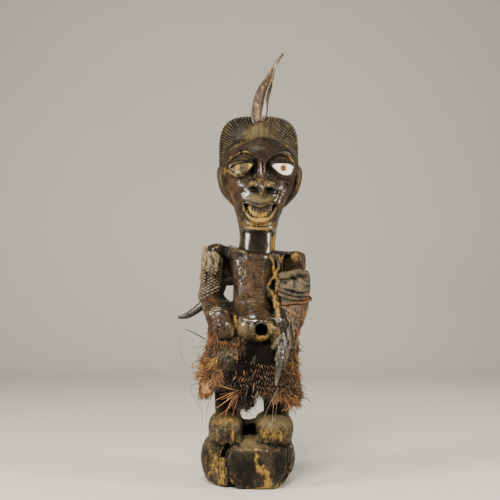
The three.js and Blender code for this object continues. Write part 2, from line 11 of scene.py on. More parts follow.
import bpy
import numpy as np
import openvdb
from mathutils import Euler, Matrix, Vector


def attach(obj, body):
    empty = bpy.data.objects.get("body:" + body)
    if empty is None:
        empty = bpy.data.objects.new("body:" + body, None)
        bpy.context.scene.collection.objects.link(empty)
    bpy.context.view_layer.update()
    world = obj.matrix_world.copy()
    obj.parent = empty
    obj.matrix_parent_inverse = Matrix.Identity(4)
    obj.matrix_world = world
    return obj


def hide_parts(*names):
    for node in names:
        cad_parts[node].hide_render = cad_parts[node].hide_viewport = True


bl_info = {
    "name": "Carved power figure",
    "version": (1, 0, 0),
    "blender": (4, 5, 0),
    "location": "3D View > Sidebar > Figure",
    "description": "Dresses the frame of a carved figure with wood, horn, shell, hide and raffia",
    "category": "Object",
}

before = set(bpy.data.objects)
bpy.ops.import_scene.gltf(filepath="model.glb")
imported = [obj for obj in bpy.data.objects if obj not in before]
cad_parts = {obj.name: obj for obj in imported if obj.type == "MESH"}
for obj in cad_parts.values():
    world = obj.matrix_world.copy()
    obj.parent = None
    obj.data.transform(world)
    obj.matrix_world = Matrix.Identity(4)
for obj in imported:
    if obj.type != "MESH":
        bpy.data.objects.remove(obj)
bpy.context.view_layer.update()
MM = 0.001
BASE_HEIGHT = 71.0
BODY = "root"

# The clay's grid keeps distances up to FAR, and its bulges are read from those up to NEAR.
FAR, NEAR = 12.0, 6.0
# A push fades over this depth, and a bulge of this share of its radius counts as full.
PUSH_FADE, FULL_BULGE = 14.0, 0.35
# TINY keeps nothing from being a divisor, and LEAST_SLOPE keeps a squared form's slope up.
TINY, LEAST_SLOPE = 1e-12, 0.6

Form = namedtuple("Form", "low high distance")


# Curves and smooth random heights.


def spline(stations, count):
    """Rows along a smooth curve through the stations, evenly in station number."""
    stations = np.asarray(stations, float)
    last = len(stations) - 1
    place = np.linspace(0, last, count)
    start = np.clip(place.astype(int), 0, last - 1)
    share = (place - start)[:, None]
    ends = [2 * stations[0] - stations[1]], [2 * stations[-1] - stations[-2]]
    rows = np.vstack([ends[0], stations, ends[1]])
    a, b, c, d = (rows[start + k] for k in range(4))
    square = 2 * a - 5 * b + 4 * c - d
    cube = 3 * b - a - 3 * c + d
    return 0.5 * (2 * b + (c - a) * share + square * share**2 + cube * share**3)


def smooth(low, high, value):
    """Rises from 0 at low to 1 at high."""
    share = np.clip((value - low) / (high - low), 0, 1)
    return share * share * (3 - 2 * share)


def unit(vectors):
    """The same directions, each one long."""
    return vectors / np.linalg.norm(vectors, axis=1, keepdims=True)


def squared(value, power=2.3):
    """A sine or cosine pushed outwards, so that a turn of both draws a rounded square."""
    return np.sign(value) * np.abs(value) ** (2 / power)


class Lumps:
    """Smooth random heights from -1 to 1 in space, from a repeating lattice."""

    CELLS = 32

    def __init__(self, seed, size, stretch=(1, 1, 1)):
        self.values = np.random.default_rng(seed).uniform(-1, 1, [self.CELLS] * 3)
        self.size = np.array(stretch, float) * size

    def __call__(self, points):
        place = points / self.size
        cell = np.floor(place).astype(int)
        share = place - cell
        share = share * share * (3 - 2 * share)
        total = 0
        for corner in np.ndindex(2, 2, 2):
            pick = (cell + corner) % self.CELLS
            weight = np.where(corner, share, 1 - share).prod(1)
            total += weight * self.values[pick[:, 0], pick[:, 1], pick[:, 2]]
        return total


def lumps(points, *layers):
    """Random heights added up: the amount, seed, size and stretch of each layer."""
    return sum(amount * Lumps(*layer)(points) for amount, *layer in layers)


# Forms: each gives its box and its distance, in millimetres.


def turned_frame(centre, half, turn):
    """Half sizes, a function to the form's own turned axes, and the ends of its outer box."""
    centre, half = np.array(centre, float), np.array(half, float)
    spin = np.array(Euler(turn).to_matrix())
    reach = np.abs(spin) @ half

    def own_axes(x, y, z):
        away = (x - centre[0], y - centre[1], z - centre[2])
        if not any(turn):
            return away
        return [sum(spin[j, i] * away[j] for j in range(3)) for i in range(3)]

    return half, own_axes, centre - reach, centre + reach


def rounded(*shares, power):
    """1 on the surface of a squared form, from the shares of its half sizes."""
    return (sum(share**power for share in shares) + TINY) ** (1 / power)


def egg(centre, half, power=2.0, turn=(0, 0, 0)):
    """A ball with three half sizes, boxier above power 2."""
    half, own_axes, low, high = turned_frame(centre, half, turn)

    def distance(x, y, z):
        u = [np.abs(p) / h for p, h in zip(own_axes(x, y, z), half)]
        f = rounded(*u, power=power)
        slope = sum((u[i] ** (power - 1) / half[i]) ** 2 for i in range(3))
        slope = np.sqrt(slope) * f ** (1 - power)
        return (f - 1) / np.maximum(slope, LEAST_SLOPE / half.max())

    return Form(low, high, distance)


def column(stations, power=2.3, ends=4.0):
    """Level sections [x, y, z, half width, half depth] stacked upwards."""
    rows = spline(stations, 90)
    reach = np.c_[rows[:, 3:5], rows[:, 3] * 0]
    low, high = (rows[:, :3] - reach).min(0), (rows[:, :3] + reach).max(0)

    def distance(x, y, z):
        cx, cy, a, b = (np.interp(z, rows[:, 2], rows[:, k]) for k in (0, 1, 3, 4))
        u, v = np.abs(x - cx) / a, np.abs(y - cy) / b
        f = rounded(u, v, power=power)
        slope = np.sqrt((u ** (power - 1) / a) ** 2 + (v ** (power - 1) / b) ** 2)
        side = (f - 1) / np.maximum(slope * f ** (1 - power), LEAST_SLOPE / np.maximum(a, b))
        cap = np.maximum(rows[0, 2] - z, z - rows[-1, 2])
        return -melt(-side, -cap, ends)

    return Form(low, high, distance)


def limb(stations, pieces=10):
    """A round bar [x, y, z, radius] along a smooth path."""
    rows = spline(stations, pieces + 1)
    low = (rows[:, :3] - rows[:, 3:4]).min(0)
    high = (rows[:, :3] + rows[:, 3:4]).max(0)

    def distance(x, y, z):
        best = None
        for a, b in zip(rows[:-1], rows[1:]):
            run = b[:3] - a[:3]
            p = (x - a[0], y - a[1], z - a[2])
            t = np.clip(sum(p[i] * run[i] for i in range(3)) / (run @ run), 0, 1)
            away = np.sqrt(sum((p[i] - t * run[i]) ** 2 for i in range(3)))
            away = away - (a[3] + t * (b[3] - a[3]))
            best = away if best is None else np.minimum(best, away)
        return best

    return Form(low, high, distance)


def slab(centre, half, turn=(0, 0, 0), soft=1.0):
    """A block with its edges rounded by soft."""
    half, own_axes, low, high = turned_frame(centre, half, turn)

    def distance(x, y, z):
        q = [np.abs(p) - (h - soft) for p, h in zip(own_axes(x, y, z), half)]
        outside = np.sqrt(sum(np.maximum(v, 0) ** 2 for v in q))
        inside = np.minimum(np.maximum(np.maximum(q[0], q[1]), q[2]), 0)
        return outside + inside - soft

    return Form(low, high, distance)


def melt(a, b, blend):
    """The lower of two distances, rounded where they meet."""
    share = np.clip(0.5 + 0.5 * (b - a) / blend, 0, 1)
    return b + (a - b) * share - blend * share * (1 - share)


class Clay:
    """Distances on an even grid that forms are joined to and cut from."""

    def __init__(self, low, high, step):
        self.step = step
        self.axes = [np.arange(a, b + step, step) for a, b in zip(low, high)]
        self.field = np.full([len(a) for a in self.axes], FAR, np.float32)

    def window(self, form, margin):
        """The part of the grid round a form, and its three coordinates."""
        parts = []
        for axis, a, b in zip(self.axes, form.low - margin, form.high + margin):
            start, end = np.searchsorted(axis, (a, b))
            parts.append(slice(max(int(start) - 1, 0), min(int(end) + 1, len(axis))))
        x, y, z = (axis[part].astype(np.float32) for axis, part in zip(self.axes, parts))
        return tuple(parts), x[:, None, None], y[None, :, None], z[None, None, :]

    def join(self, *forms, blend, side=1):
        """Melts forms into the clay, or out of it where side is -1."""
        for form in forms:
            part, x, y, z = self.window(form, blend + 3 * self.step)
            distance = form.distance(x, y, z)
            self.field[part] = side * melt(side * self.field[part], distance, blend)

    def cut(self, *forms, blend):
        self.join(*forms, blend=blend, side=-1)

    def front(self, x, z):
        """The y of the clay's front surface at that x and height."""
        i = int(np.clip(round((x - self.axes[0][0]) / self.step), 0, len(self.axes[0]) - 1))
        k = int(np.clip(round((z - self.axes[2][0]) / self.step), 0, len(self.axes[2]) - 1))
        inside = np.nonzero(self.field[i, :, k] < 0)[0]
        return self.axes[1][inside[0]] if len(inside) else 0.0

    def trace(self, rows):
        """A bar [x, z, radius] that follows the clay's front surface."""
        rows = spline(rows, 4 * len(rows))
        depth = np.array([self.front(x, z) for x, z, _ in rows])
        depth = np.convolve(np.pad(depth, 1, "edge"), [0.25, 0.5, 0.25], "valid")
        return limb(np.c_[rows[:, 0], depth, rows[:, 1], rows[:, 2]], len(rows) - 1)

    def raise_lines(self, lines, blend):
        for line in lines:
            self.join(self.trace(line), blend=blend)

    def score_lines(self, lines, blend):
        for line in lines:
            self.cut(self.trace(line), blend=blend)

    def push(self, heights, low, high, back):
        """Moves the front surface towards the viewer by heights(x, z), less and less up to back."""
        x_axis, y_axis, z_axis = self.axes
        i = slice(*np.searchsorted(x_axis, (low[0], high[0])))
        k = slice(*np.searchsorted(z_axis, (low[1], high[1])))
        rise = heights(x_axis[i][:, None], z_axis[k][None, :])
        last = int(np.searchsorted(y_axis, back))
        share = smooth(back, back - PUSH_FADE, y_axis[:last])
        place = np.arange(last)[None, :, None] + rise[:, None, :] * share[None, :, None] / self.step
        place = np.clip(place, 0, last - 1.001)
        cell = place.astype(np.int32)
        part = place - cell
        block = self.field[i, :last, k]
        near = np.take_along_axis(block, cell, 1)
        far = np.take_along_axis(block, cell + 1, 1)
        self.field[i, :last, k] = near + (far - near) * part

    def skin(self):
        """Points and quads of the clay's surface."""
        grid = openvdb.FloatGrid(FAR)
        grid.copyFromArray(np.clip(self.field, -FAR, FAR))
        points, _, quads = grid.convertToPolygons(isovalue=0.0, adaptivity=0.0)
        points = points * self.step + [axis[0] for axis in self.axes]
        return points, quads

    def bulge(self, points, radius):
        """How far each point stands out of its surroundings, from -1 in a hollow to 1."""
        reach = max(1, round(radius / self.step))
        blur = np.clip(self.field, -NEAR, NEAR)
        for axis in range(3):
            total = np.cumsum(blur, axis=axis, dtype=np.float32)
            ahead = np.roll(total, -reach, axis)
            behind = np.roll(total, reach + 1, axis)
            blur = (ahead - behind) / (2 * reach + 1)
        place = np.stack([(points[:, i] - self.axes[i][0]) / self.step for i in range(3)], 1)
        cell = np.clip(place.round().astype(int), 0, np.array(blur.shape) - 1)
        return np.clip(blur[cell[:, 0], cell[:, 1], cell[:, 2]] / (FULL_BULGE * radius), -1, 1)


# Meshes.


def in_metres(points):
    """Points given in millimetres above the base, in the frame."""
    return (np.asarray(points) + [0, 0, BASE_HEIGHT]) * MM


def read_vectors(items, key):
    flat = np.empty(len(items) * 3, np.float32)
    items.foreach_get(key, flat)
    return flat.reshape(-1, 3)


def points_of(obj):
    """The object's points in millimetres above the base."""
    return read_vectors(obj.data.vertices, "co") / MM - [0, 0, BASE_HEIGHT]


def normals_of(points, faces):
    a, b, c, d = (points[faces[:, k]] for k in (0, 1, 2, -1))
    face = np.cross(c - a, d - b if faces.shape[1] == 4 else b - a)
    total = np.zeros_like(points)
    for k in range(faces.shape[1]):
        np.add.at(total, faces[:, k], face)
    return total / np.maximum(np.linalg.norm(total, axis=1, keepdims=True), 1e-9)


def make_object(name, points, faces):
    """A mesh object from points in millimetres above the base."""
    placed, faces = in_metres(points), np.asarray(faces)
    width = faces.shape[1]
    mesh = bpy.data.meshes.new(name)
    mesh.vertices.add(len(placed))
    mesh.vertices.foreach_set("co", placed.astype(np.float32).ravel())
    mesh.loops.add(faces.size)
    mesh.loops.foreach_set("vertex_index", faces.astype(np.int32).ravel())
    mesh.polygons.add(len(faces))
    mesh.polygons.foreach_set("loop_start", np.arange(len(faces), dtype=np.int32) * width)
    mesh.update(calc_edges=True)
    mesh.validate()
    mesh.shade_smooth()
    return link_object(name, mesh)


def link_object(name, data):
    obj = bpy.data.objects.new(name, data)
    bpy.context.scene.collection.objects.link(obj)
    return obj


def paint(obj, **layers):
    """Stores values from 0 to 1 on the points, for the material to read."""
    for name, values in layers.items():
        layer = obj.data.attributes.new(name, "FLOAT", "POINT")
        layer.data.foreach_set("value", np.clip(values, 0, 1).astype(np.float32))


def bake(obj):
    """Turns an object's modifiers into plain mesh."""
    graph = bpy.context.evaluated_depsgraph_get()
    mesh = bpy.data.meshes.new_from_object(obj.evaluated_get(graph))
    old = obj.data
    obj.modifiers.clear()
    obj.data = mesh
    bpy.data.meshes.remove(old)
    mesh.name = obj.name
    return obj


def thin(obj, triangles):
    """Joins small faces until about that many triangles are left."""
    count = sum(len(p.vertices) - 2 for p in obj.data.polygons)
    if count <= triangles:
        return obj
    modifier = obj.modifiers.new("thin", "DECIMATE")
    modifier.ratio = triangles / count
    return bake(obj)


def skin_object(name, clay, relief, triangles):
    """The clay's surface with fine relief pushed along its normals."""
    points, faces = clay.skin()
    points = points + normals_of(points, faces) * relief(points)[:, None]
    obj = make_object(name, points, faces)
    return thin(obj, triangles)


def finish_piece(obj, material, nodes, slot=None):
    """Gives a piece its finish and its place in the frame."""
    obj.data.materials.clear()
    obj.data.materials.append(material)
    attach(obj, BODY)
    if nodes:
        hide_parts(*nodes)
    slot or nodes[0]
    return obj


# Shader graphs.


class Wire:
    """A shader socket that takes part in Python arithmetic."""

    def __init__(self, socket):
        self.socket = socket

    def _math(self, operation, *values, clamp=False):
        tree = self.socket.id_data
        node = tree.nodes.new("ShaderNodeMath")
        node.operation = operation
        node.use_clamp = clamp
        for slot, value in zip(node.inputs, values):
            if isinstance(value, Wire):
                tree.links.new(value.socket, slot)
            else:
                slot.default_value = value
        return Wire(node.outputs[0])

    def __add__(self, other):
        return self._math("ADD", self, other)

    __radd__ = __add__

    def __mul__(self, other):
        return self._math("MULTIPLY", self, other)

    def __sub__(self, other):
        return self._math("SUBTRACT", self, other)

    def __rsub__(self, other):
        return self._math("SUBTRACT", other, self)

    def __pow__(self, other):
        return self._math("POWER", self, other)

    def clamp(self):
        return self._math("ADD", self, 0.0, clamp=True)

    def rise(self, low, high):
        """Goes from 0 at low to 1 at high."""
        return self._math("MULTIPLY", self - low, 1 / (high - low), clamp=True)

    def wave(self):
        return self._math("SINE", self)

    def size(self):
        return self._math("ABSOLUTE", self)

    def angle(self, across):
        return self._math("ARCTAN2", self, across)

    def either(self, other):
        return self._math("MAXIMUM", self, other)


class Finish:
    """One material: its node tree, its coordinates and its shader."""

    def __init__(self, name):
        self.material = bpy.data.materials.new(name)
        self.material.use_nodes = True
        self.tree = self.material.node_tree
        self.tree.nodes.clear()
        self.output = self.tree.nodes.new("ShaderNodeOutputMaterial")
        self.shader = self.tree.nodes.new("ShaderNodeBsdfPrincipled")
        self.tree.links.new(self.shader.outputs[0], self.output.inputs[0])

    def node(self, kind, settings=None, out=0, **sockets):
        """One node: its settings first, then its sockets' values or links."""
        made = self.tree.nodes.new(kind)
        for name, value in (settings or {}).items():
            if name == "stops":
                self._set_stops(made.color_ramp, value)
            else:
                setattr(made, name, value)
        for name, value in sockets.items():
            self._plug(made.inputs[name.replace("_", " ")], value)
        return Wire(made.outputs[out])

    def _set_stops(self, ramp, stops):
        while len(ramp.elements) < len(stops):
            ramp.elements.new(0.5)
        for element, (place, colour) in zip(ramp.elements, stops):
            element.position = place
            element.color = (*colour, 1.0)

    def _plug(self, socket, value):
        if isinstance(value, Wire):
            self.tree.links.new(value.socket, socket)
        elif socket.type == "RGBA":
            socket.default_value = (*value, 1.0)
        else:
            socket.default_value = value

    def coords(self, scale=(1, 1, 1)):
        """Object coordinates, stretched."""
        plain = self.node("ShaderNodeTexCoord", out="Object")
        return self.node("ShaderNodeMapping", Vector=plain, Scale=scale)

    def noise(self, scale, detail, rough=0.5, stretch=(1, 1, 1), warp=0.0):
        sockets = {"Scale": scale, "Detail": detail, "Roughness": rough, "Distortion": warp}
        return self.node("ShaderNodeTexNoise", Vector=self.coords(stretch), **sockets)

    def painted(self, name):
        """A value stored on the piece's own points."""
        return self.node("ShaderNodeAttribute", {"attribute_name": name}, out="Fac")

    def mix(self, share, one, other):
        """From colour one to the other."""
        made = self.tree.nodes.new("ShaderNodeMix")
        made.data_type = "RGBA"
        self._plug(made.inputs[0], share)
        self._plug(made.inputs[6], one)
        self._plug(made.inputs[7], other)
        return Wire(made.outputs[2])

    def over(self, share, tint):
        """Lays a colour over the finish's own, as much of it as share says."""
        self.colour = self.mix(share, self.colour, tint)

    def bump(self, height, strength, distance, under=None):
        sockets = {"Height": height, "Strength": strength, "Distance": distance}
        if under is not None:
            sockets["Normal"] = under
        return self.node("ShaderNodeBump", **sockets)

    def set(self, **sockets):
        for name, value in sockets.items():
            self._plug(self.shader.inputs[name.replace("_", " ")], value)
        return self.material


# Geometry Nodes.


def strand_tree():
    """A node group that makes every edge path a round strand with the point radius in 'thick'."""
    name = "round strands"
    if name in bpy.data.node_groups:
        return bpy.data.node_groups[name]
    tree = bpy.data.node_groups.new(name, "GeometryNodeTree")
    for label, way, kind in (
        ("Paths", "INPUT", "Geometry"),
        ("Sides", "INPUT", "Int"),
        ("Material", "INPUT", "Material"),
        ("Strands", "OUTPUT", "Geometry"),
    ):
        tree.interface.new_socket(label, in_out=way, socket_type="NodeSocket" + kind)
    tree.interface.items_tree["Sides"].default_value = 3
    node = tree.nodes.new
    start, end = node("NodeGroupInput"), node("NodeGroupOutput")
    curve = node("GeometryNodeMeshToCurve")
    thick = node("GeometryNodeInputNamedAttribute")
    thick.data_type = "FLOAT"
    thick.inputs["Name"].default_value = "thick"
    ring = node("GeometryNodeCurvePrimitiveCircle")
    ring.inputs["Radius"].default_value = 1.0
    sweep = node("GeometryNodeCurveToMesh")
    sweep.inputs["Fill Caps"].default_value = True
    solid = node("GeometryNodeRealizeInstances")
    coat = node("GeometryNodeSetMaterial")
    for source, leaving, target, entering in (
        (start, "Paths", curve, "Mesh"),
        (start, "Sides", ring, "Resolution"),
        (start, "Material", coat, "Material"),
        (curve, "Curve", sweep, "Curve"),
        (ring, "Curve", sweep, "Profile Curve"),
        (thick, "Attribute", sweep, "Scale"),
        (sweep, "Mesh", solid, "Geometry"),
        (solid, "Geometry", coat, "Geometry"),
        (coat, "Geometry", end, "Strands"),
    ):
        tree.links.new(source.outputs[leaving], target.inputs[entering])
    return tree


def strands(name, paths, material, sides=3):
    """Round strands along paths of [x, y, z, radius] rows, with a tint for each path."""
    rows = np.vstack([path for path, _ in paths])
    counts = [len(path) for path, _ in paths]
    starts = np.cumsum([0] + counts[:-1])
    edges = np.vstack(
        [np.c_[np.arange(s, s + n - 1), np.arange(s + 1, s + n)] for s, n in zip(starts, counts)]
    )
    mesh = bpy.data.meshes.new(name)
    mesh.from_pydata(in_metres(rows[:, :3]).tolist(), edges.tolist(), [])
    obj = link_object(name, mesh)
    paint(
        obj,
        thick=rows[:, 3] * MM,
        tint=np.concatenate([np.full(n, tint) for n, (_, tint) in zip(counts, paths)]),
        along=np.concatenate([np.linspace(0, 1, n) for n in counts]),
    )
    modifier = obj.modifiers.new("strands", "NODES")
    modifier.node_group = strand_tree()
    inputs = {"Sides": sides, "Material": material}
    for item in modifier.node_group.interface.items_tree:
        if item.in_out == "INPUT" and item.name in inputs:
            modifier[item.identifier] = inputs[item.name]
    bake(obj)
    obj.data.shade_smooth()
    return obj


# The carved figure, in millimetres above the top of the base.

HEAD_X = 20.0
NOSE_X = 23.0
MOUTH_X = 19.0
HAIR_AT, HAIR_HALF = (18.5, 21.0, 477.0), (68.5, 47.0, 71.0)
# Turns a share of the hair's half sizes into about a millimetre.
HAIR_SCALE = 55.0
# The hair's rays spread from this height, two for each of these waves in a full turn.
RAYS_LEVEL, HAIR_RAYS = 468.0, 52.0

EYE_X = {"left": -10.0, "right": 57.0}
EYE_LEVEL, EYE_FRONT = 448.0, -57.0
SHELL_WIDTH = 38.0
# Each eye's turn outwards, skew, rise across, and drop as a share of its width.
EYE_SHAPE = {"left": (-0.2, -0.1, 0.12, 0.27), "right": (0.2, 0.3, 0.0, 0.33)}
PUPIL_X, PUPIL_LEVEL, PUPIL_RADIUS = {"left": -10.0, "right": 58.0}, 447.5, 3.8
PUPIL_BOTTOM = {"left": -58.6, "right": -58.2}

# Each nostril's middle, half sizes and lean.
NOSTRILS = [((9.5, -72, 413.6), (5.4, 12, 2.2), 0.22), ((34.5, -72, 411.2), (6.4, 12, 2.4), -0.2)]
LEG_X = (-34.0, 48.0)
FOOT_X, FOOT_WIDE = (-36.0, 43.0), (29.0, 30.5)
BELLY_HOLE, BELLY_HOLE_RADIUS, BELLY_RIM = (22.0, 184.0), 10.2, 13.6
CREST_FOOT = (22.0, -27.0, 494.0)

LEFT_ARM = [(-60, 6, 311, 14), (-61, 8, 285, 13.5), (-63, 9, 258, 13.5), (-65, 4, 232, 15)]
RIGHT_ARM = [(83, 6, 299, 15), (83, 6, 280, 14), (80, 4, 246, 13.5), (78, -6, 222, 14)]

# The hand on the image's left, which raffia ends stand out from.
HAND_AT, HAND_HALF = (-45, -52, 180), (21, 15, 20)

# The most triangles of each skinned piece. The figure's two pieces have this many each.
FIGURE_TRIANGLES, SLEEVE_TRIANGLES, BUNDLE_TRIANGLES = 190000, 74000, 104000
SHELL_TRIANGLES = {"left": 16000, "right": 14000}


def hair_form():
    """The mass of the hair: square shouldered from the front, round from the side."""
    centre, half = np.array(HAIR_AT), np.array(HAIR_HALF)

    def distance(x, y, z):
        u, v, w = (np.abs(c - m) / h for c, m, h in zip((x, y, z), centre, half))
        return (rounded(rounded(u, w, power=3.5), v, power=2.4) - 1) * HAIR_SCALE

    return Form(centre - half, centre + half, distance)


def almond_form(side, grow, front, back):
    """An eye's outline in front view, flat above and bowed below, turned a little outwards."""
    middle = EYE_X[side]
    lean, skew, rise, drop = EYE_SHAPE[side]
    half = SHELL_WIDTH / 2 + grow * 1.5
    up, down = SHELL_WIDTH * 0.17 + grow, SHELL_WIDTH * drop + grow
    low = np.array([middle - half, EYE_FRONT + front - 6, EYE_LEVEL - down])
    high = np.array([middle + half, EYE_FRONT + back + 6, EYE_LEVEL + up])

    def distance(x, y, z):
        along = (x - middle) * math.cos(lean) + (y - EYE_FRONT) * math.sin(lean)
        deep = (y - EYE_FRONT) * math.cos(lean) - (x - middle) * math.sin(lean)
        share = np.clip(along / half, -1.4, 1.4)
        bow = np.clip(1 - np.abs((share - skew) / (1 - skew * share)) ** 2.5, -1, 1)
        lid = np.clip(1 - np.abs(share) ** 5, -1, 1)
        h = z - EYE_LEVEL - 1.0 - rise * (x - middle)
        face = np.maximum(h - up * lid, 3.0 - (down + 3.0) * bow - h) * 0.8
        return np.maximum(np.maximum(face, deep - back), front - deep)

    return Form(low, high, distance)


def shape_head(clay):
    face = [
        (17, -44, 343, 27, 30), (17.5, -44, 352, 31, 35), (18, -36, 371, 35, 43), (19, -22, 395, 44, 46),
        (21, -8, 425, 57, 51), (21, 2, 458, 64, 60), (20, 6, 485, 60, 56), (20, 8, 508, 34, 36),
    ]
    nape = [(17, 4, 330, 30, 30), (17, 12, 362, 34, 34), (19, 20, 400, 46, 44)]
    clay.join(column(face, 2.25, 3), egg((20, 22, 452), (58, 62, 68)), column(nape), blend=8)
    clay.join(hair_form(), blend=3)
    clay.join(egg((HEAD_X + 1, -8, 463), (57, 52, 47), power=2.2), blend=2.5)
    mound = [(22, -26, 478, 34, 26), (22, -26, 494, 27, 22), (22, -25, 510, 19, 17), (20, -24, 528, 14, 13)]
    clay.join(column(mound), blend=9)
    clay.join(limb([(23, -52, 500, 3), (23, -44, 514, 4.5), (21, -36, 526, 5)]), blend=5)
    clay.join(limb([(28, -44, 503, 2.4), (33, -36, 520, 3.4), (34, -28, 534, 3.2)]), blend=5)
    for side in (-1, 1):
        x = HEAD_X + side * 66
        ear = [
            (HEAD_X + side * 40, 4, 389, 4, 6), (x - side * 11, 8, 412, 9, 12),
            (x - side * 4, 10, 436, 10.5, 17), (x - side * 5, 12, 456, 11, 15),
            (x - side * 14, 12, 470, 7, 7),
        ]
        clay.join(column(ear, power=2.4), blend=3)
        hollow = egg((x - side * 7, -11, 434), (5.5, 6, 24), turn=(0, side * 0.16, side * 0.3))
        clay.cut(hollow, blend=4)
        crease = [(x - side * 13, -16, 462, 2), (x - side * 15, -18, 430, 2.4)]
        crease.append((x - side * 24, -20, 400, 1.6))
        clay.cut(limb(crease), blend=3)


def shape_brows_and_eyes(clay):
    for name, side in (("left", -1), ("right", 1)):
        x = EYE_X[name]
        clay.cut(egg((x - side * 3, -67, 452), (24, 15, 15), power=2.3), blend=6)
        clay.join(egg((x, -50, 446), (23, 10, 14)), blend=4)
        clay.join(egg((x, -53, 450), (22, 8.5, 10), power=2.2), blend=2)
        clay.join(almond_form(name, 2.0, -2.8, 22), blend=1.2)


def shape_nose(clay):
    ridge = [
        (NOSE_X - 1, -68, 401, 3, 8), (NOSE_X, -71, 411, 7, 13), (NOSE_X, -67, 424, 9, 11),
        (NOSE_X, -62, 440, 8, 8), (NOSE_X, -58, 462, 5, 5),
    ]
    clay.join(column(ridge, ends=8), blend=4)
    for side, level in ((-1, 419), (1, 418)):
        clay.join(egg((NOSE_X + side * 12, -65, level), (11, 11, 8)), blend=3)


def shape_mouth(clay):
    clay.join(egg((18, -58, 378), (27, 17, 22), power=2.0), blend=10)

    def heights(x, z):
        lines = BROW_LINES + EYE_LINES + NOSE_LINES + MOUTH_LINES
        return strokes(x, z, lines) + mouth_heights(x, z)

    clay.push(heights, (-44, 342), (90, 484), -30)
    for centre, half, lean in NOSTRILS:
        clay.cut(egg(centre, half, turn=(0.5, lean, 0)), blend=1)
    for name in EYE_X:
        clay.cut(almond_form(name, 0.3, -16, 2.2), blend=0.6)


# Lines on the front of the body: across, height, half width and how far the line stands out.
NIPPLE_RING = [
    (-14 + 7.4 * math.sin(a), 277.5 + 9.8 * math.cos(a), 1.8, -1.8) for a in np.linspace(0, 6.28, 13)
]

CHEST_STRIPS = [
    [(37.5, 305, 4.5, 1), (39, 299, 5, 2.4), (41, 289, 4.6, 2.4), (44, 273, 5.4, 2.6),
     (37, 262, 4.4, 2.2), (34.5, 251, 4.6, 2.2), (41, 240, 6.5, 2), (46, 228, 7.5, 2), (49, 214, 8, 2),
     (50, 204, 6, 1.5)],
    [(57, 305, 6, 2.4), (53, 293, 5, 2.4), (50, 281, 4.4, 2.4), (46, 272, 4.4, 2.2), (50, 260, 4.2, 2),
     (49, 247, 5, 2)],
]

TORSO_LINES = CHEST_STRIPS + [
    [(-30.7, 321.7, 4, 2.5), (-19.3, 314.4, 4.5, 3), (-4.8, 309.3, 4.5, 3), (3.4, 306.2, 4, 2),
     (20, 307, 3, 1.5)],
    [(-9, 314, 4, 2.5), (-2, 305, 5, 2.5), (0, 297, 4, 1)],
    [(4.5, 297, 2.4, -1), (20, 297.4, 2.6, -1.4), (36.5, 298, 2.4, -1)],
    [(-14, 281, 7, 3.4), (-14, 274, 7, 3.4)],
    NIPPLE_RING,
    [(-13, 262, 8, 2.4), (-9, 256, 8, 2.4)],
    [(-22, 213, 5, 1.6), (-9, 203, 6, 2.4), (3.4, 199, 5, 2), (12, 199, 4, 1)],
    [(31, 203, 4, 1.5), (40, 203, 5, 3), (46, 199, 5, 3), (49, 190, 4, 2)],
    [(46.2, 296, 2.4, -5), (46.8, 284, 2.4, -5)],
    [(43.8, 264, 2, -4), (42.5, 252, 4.5, -7)],
    [(60, 302, 1.6, -2), (61, 272, 1.6, -2)],
    [(65, 302, 1.6, 2), (66, 272, 1.6, 1.5)],
    [(70, 302, 1.6, -2), (71, 272, 1.6, -2)],
    [(75, 302, 1.6, 2), (75, 276, 1.6, 1.5)],
    [(-42, 300, 2, 2), (-40, 285, 2.4, -2), (-38, 270, 2, -2)],
    [(-36, 304, 1.8, -2), (-34, 288, 2, -2.4)],
]

HAND_LINES = [
    [(-65, 208, 4, 1.5), (-59.4, 216, 5, 3.4), (-52.3, 221, 5.5, 4), (-43.2, 220, 5.5, 4),
     (-34, 214.5, 5, 3.8), (-26, 207, 5, 3.4), (-21.3, 200, 4.5, 3), (-21.3, 187, 4, 2), (-27, 173, 4, 1)],
    [(-61.4, 201, 1.8, -0.7), (-49.3, 194, 2, -1), (-33, 192, 2, -1), (-25, 194, 1.8, -0.6)],
    [(-59.4, 191, 1.8, -0.7), (-45.2, 187, 2, -1), (-29, 183, 1.8, -0.7)],
    [(-55.3, 182.7, 1.8, -0.7), (-41.2, 177, 2, -1), (-31, 174.5, 1.8, -0.7)],
    [(-56, 204, 1.6, -1), (-60, 188, 1.8, -0.8), (-56, 168, 1.8, -0.8)],
    [(-47, 190, 1.6, -1), (-49, 178, 2, -1), (-46, 162, 1.8, -0.8)],
    [(-38, 188, 1.6, -1), (-39, 175, 2, -1), (-37, 162, 1.8, -0.8)],
    [(-44, 205, 8, -1.5), (-40, 200, 8, -1.5)],
]

# Lumps of paste on the body's front: across, height and radius.
PASTE_LUMPS = [
    (38, 193, 4), (40, 184, 4.5), (38, 175, 5), (43, 168, 4), (40, 160, 5), (45, 151, 4),
    (46, 236, 4), (50, 224, 4.5), (47, 214, 4), (52, 206, 4),
]


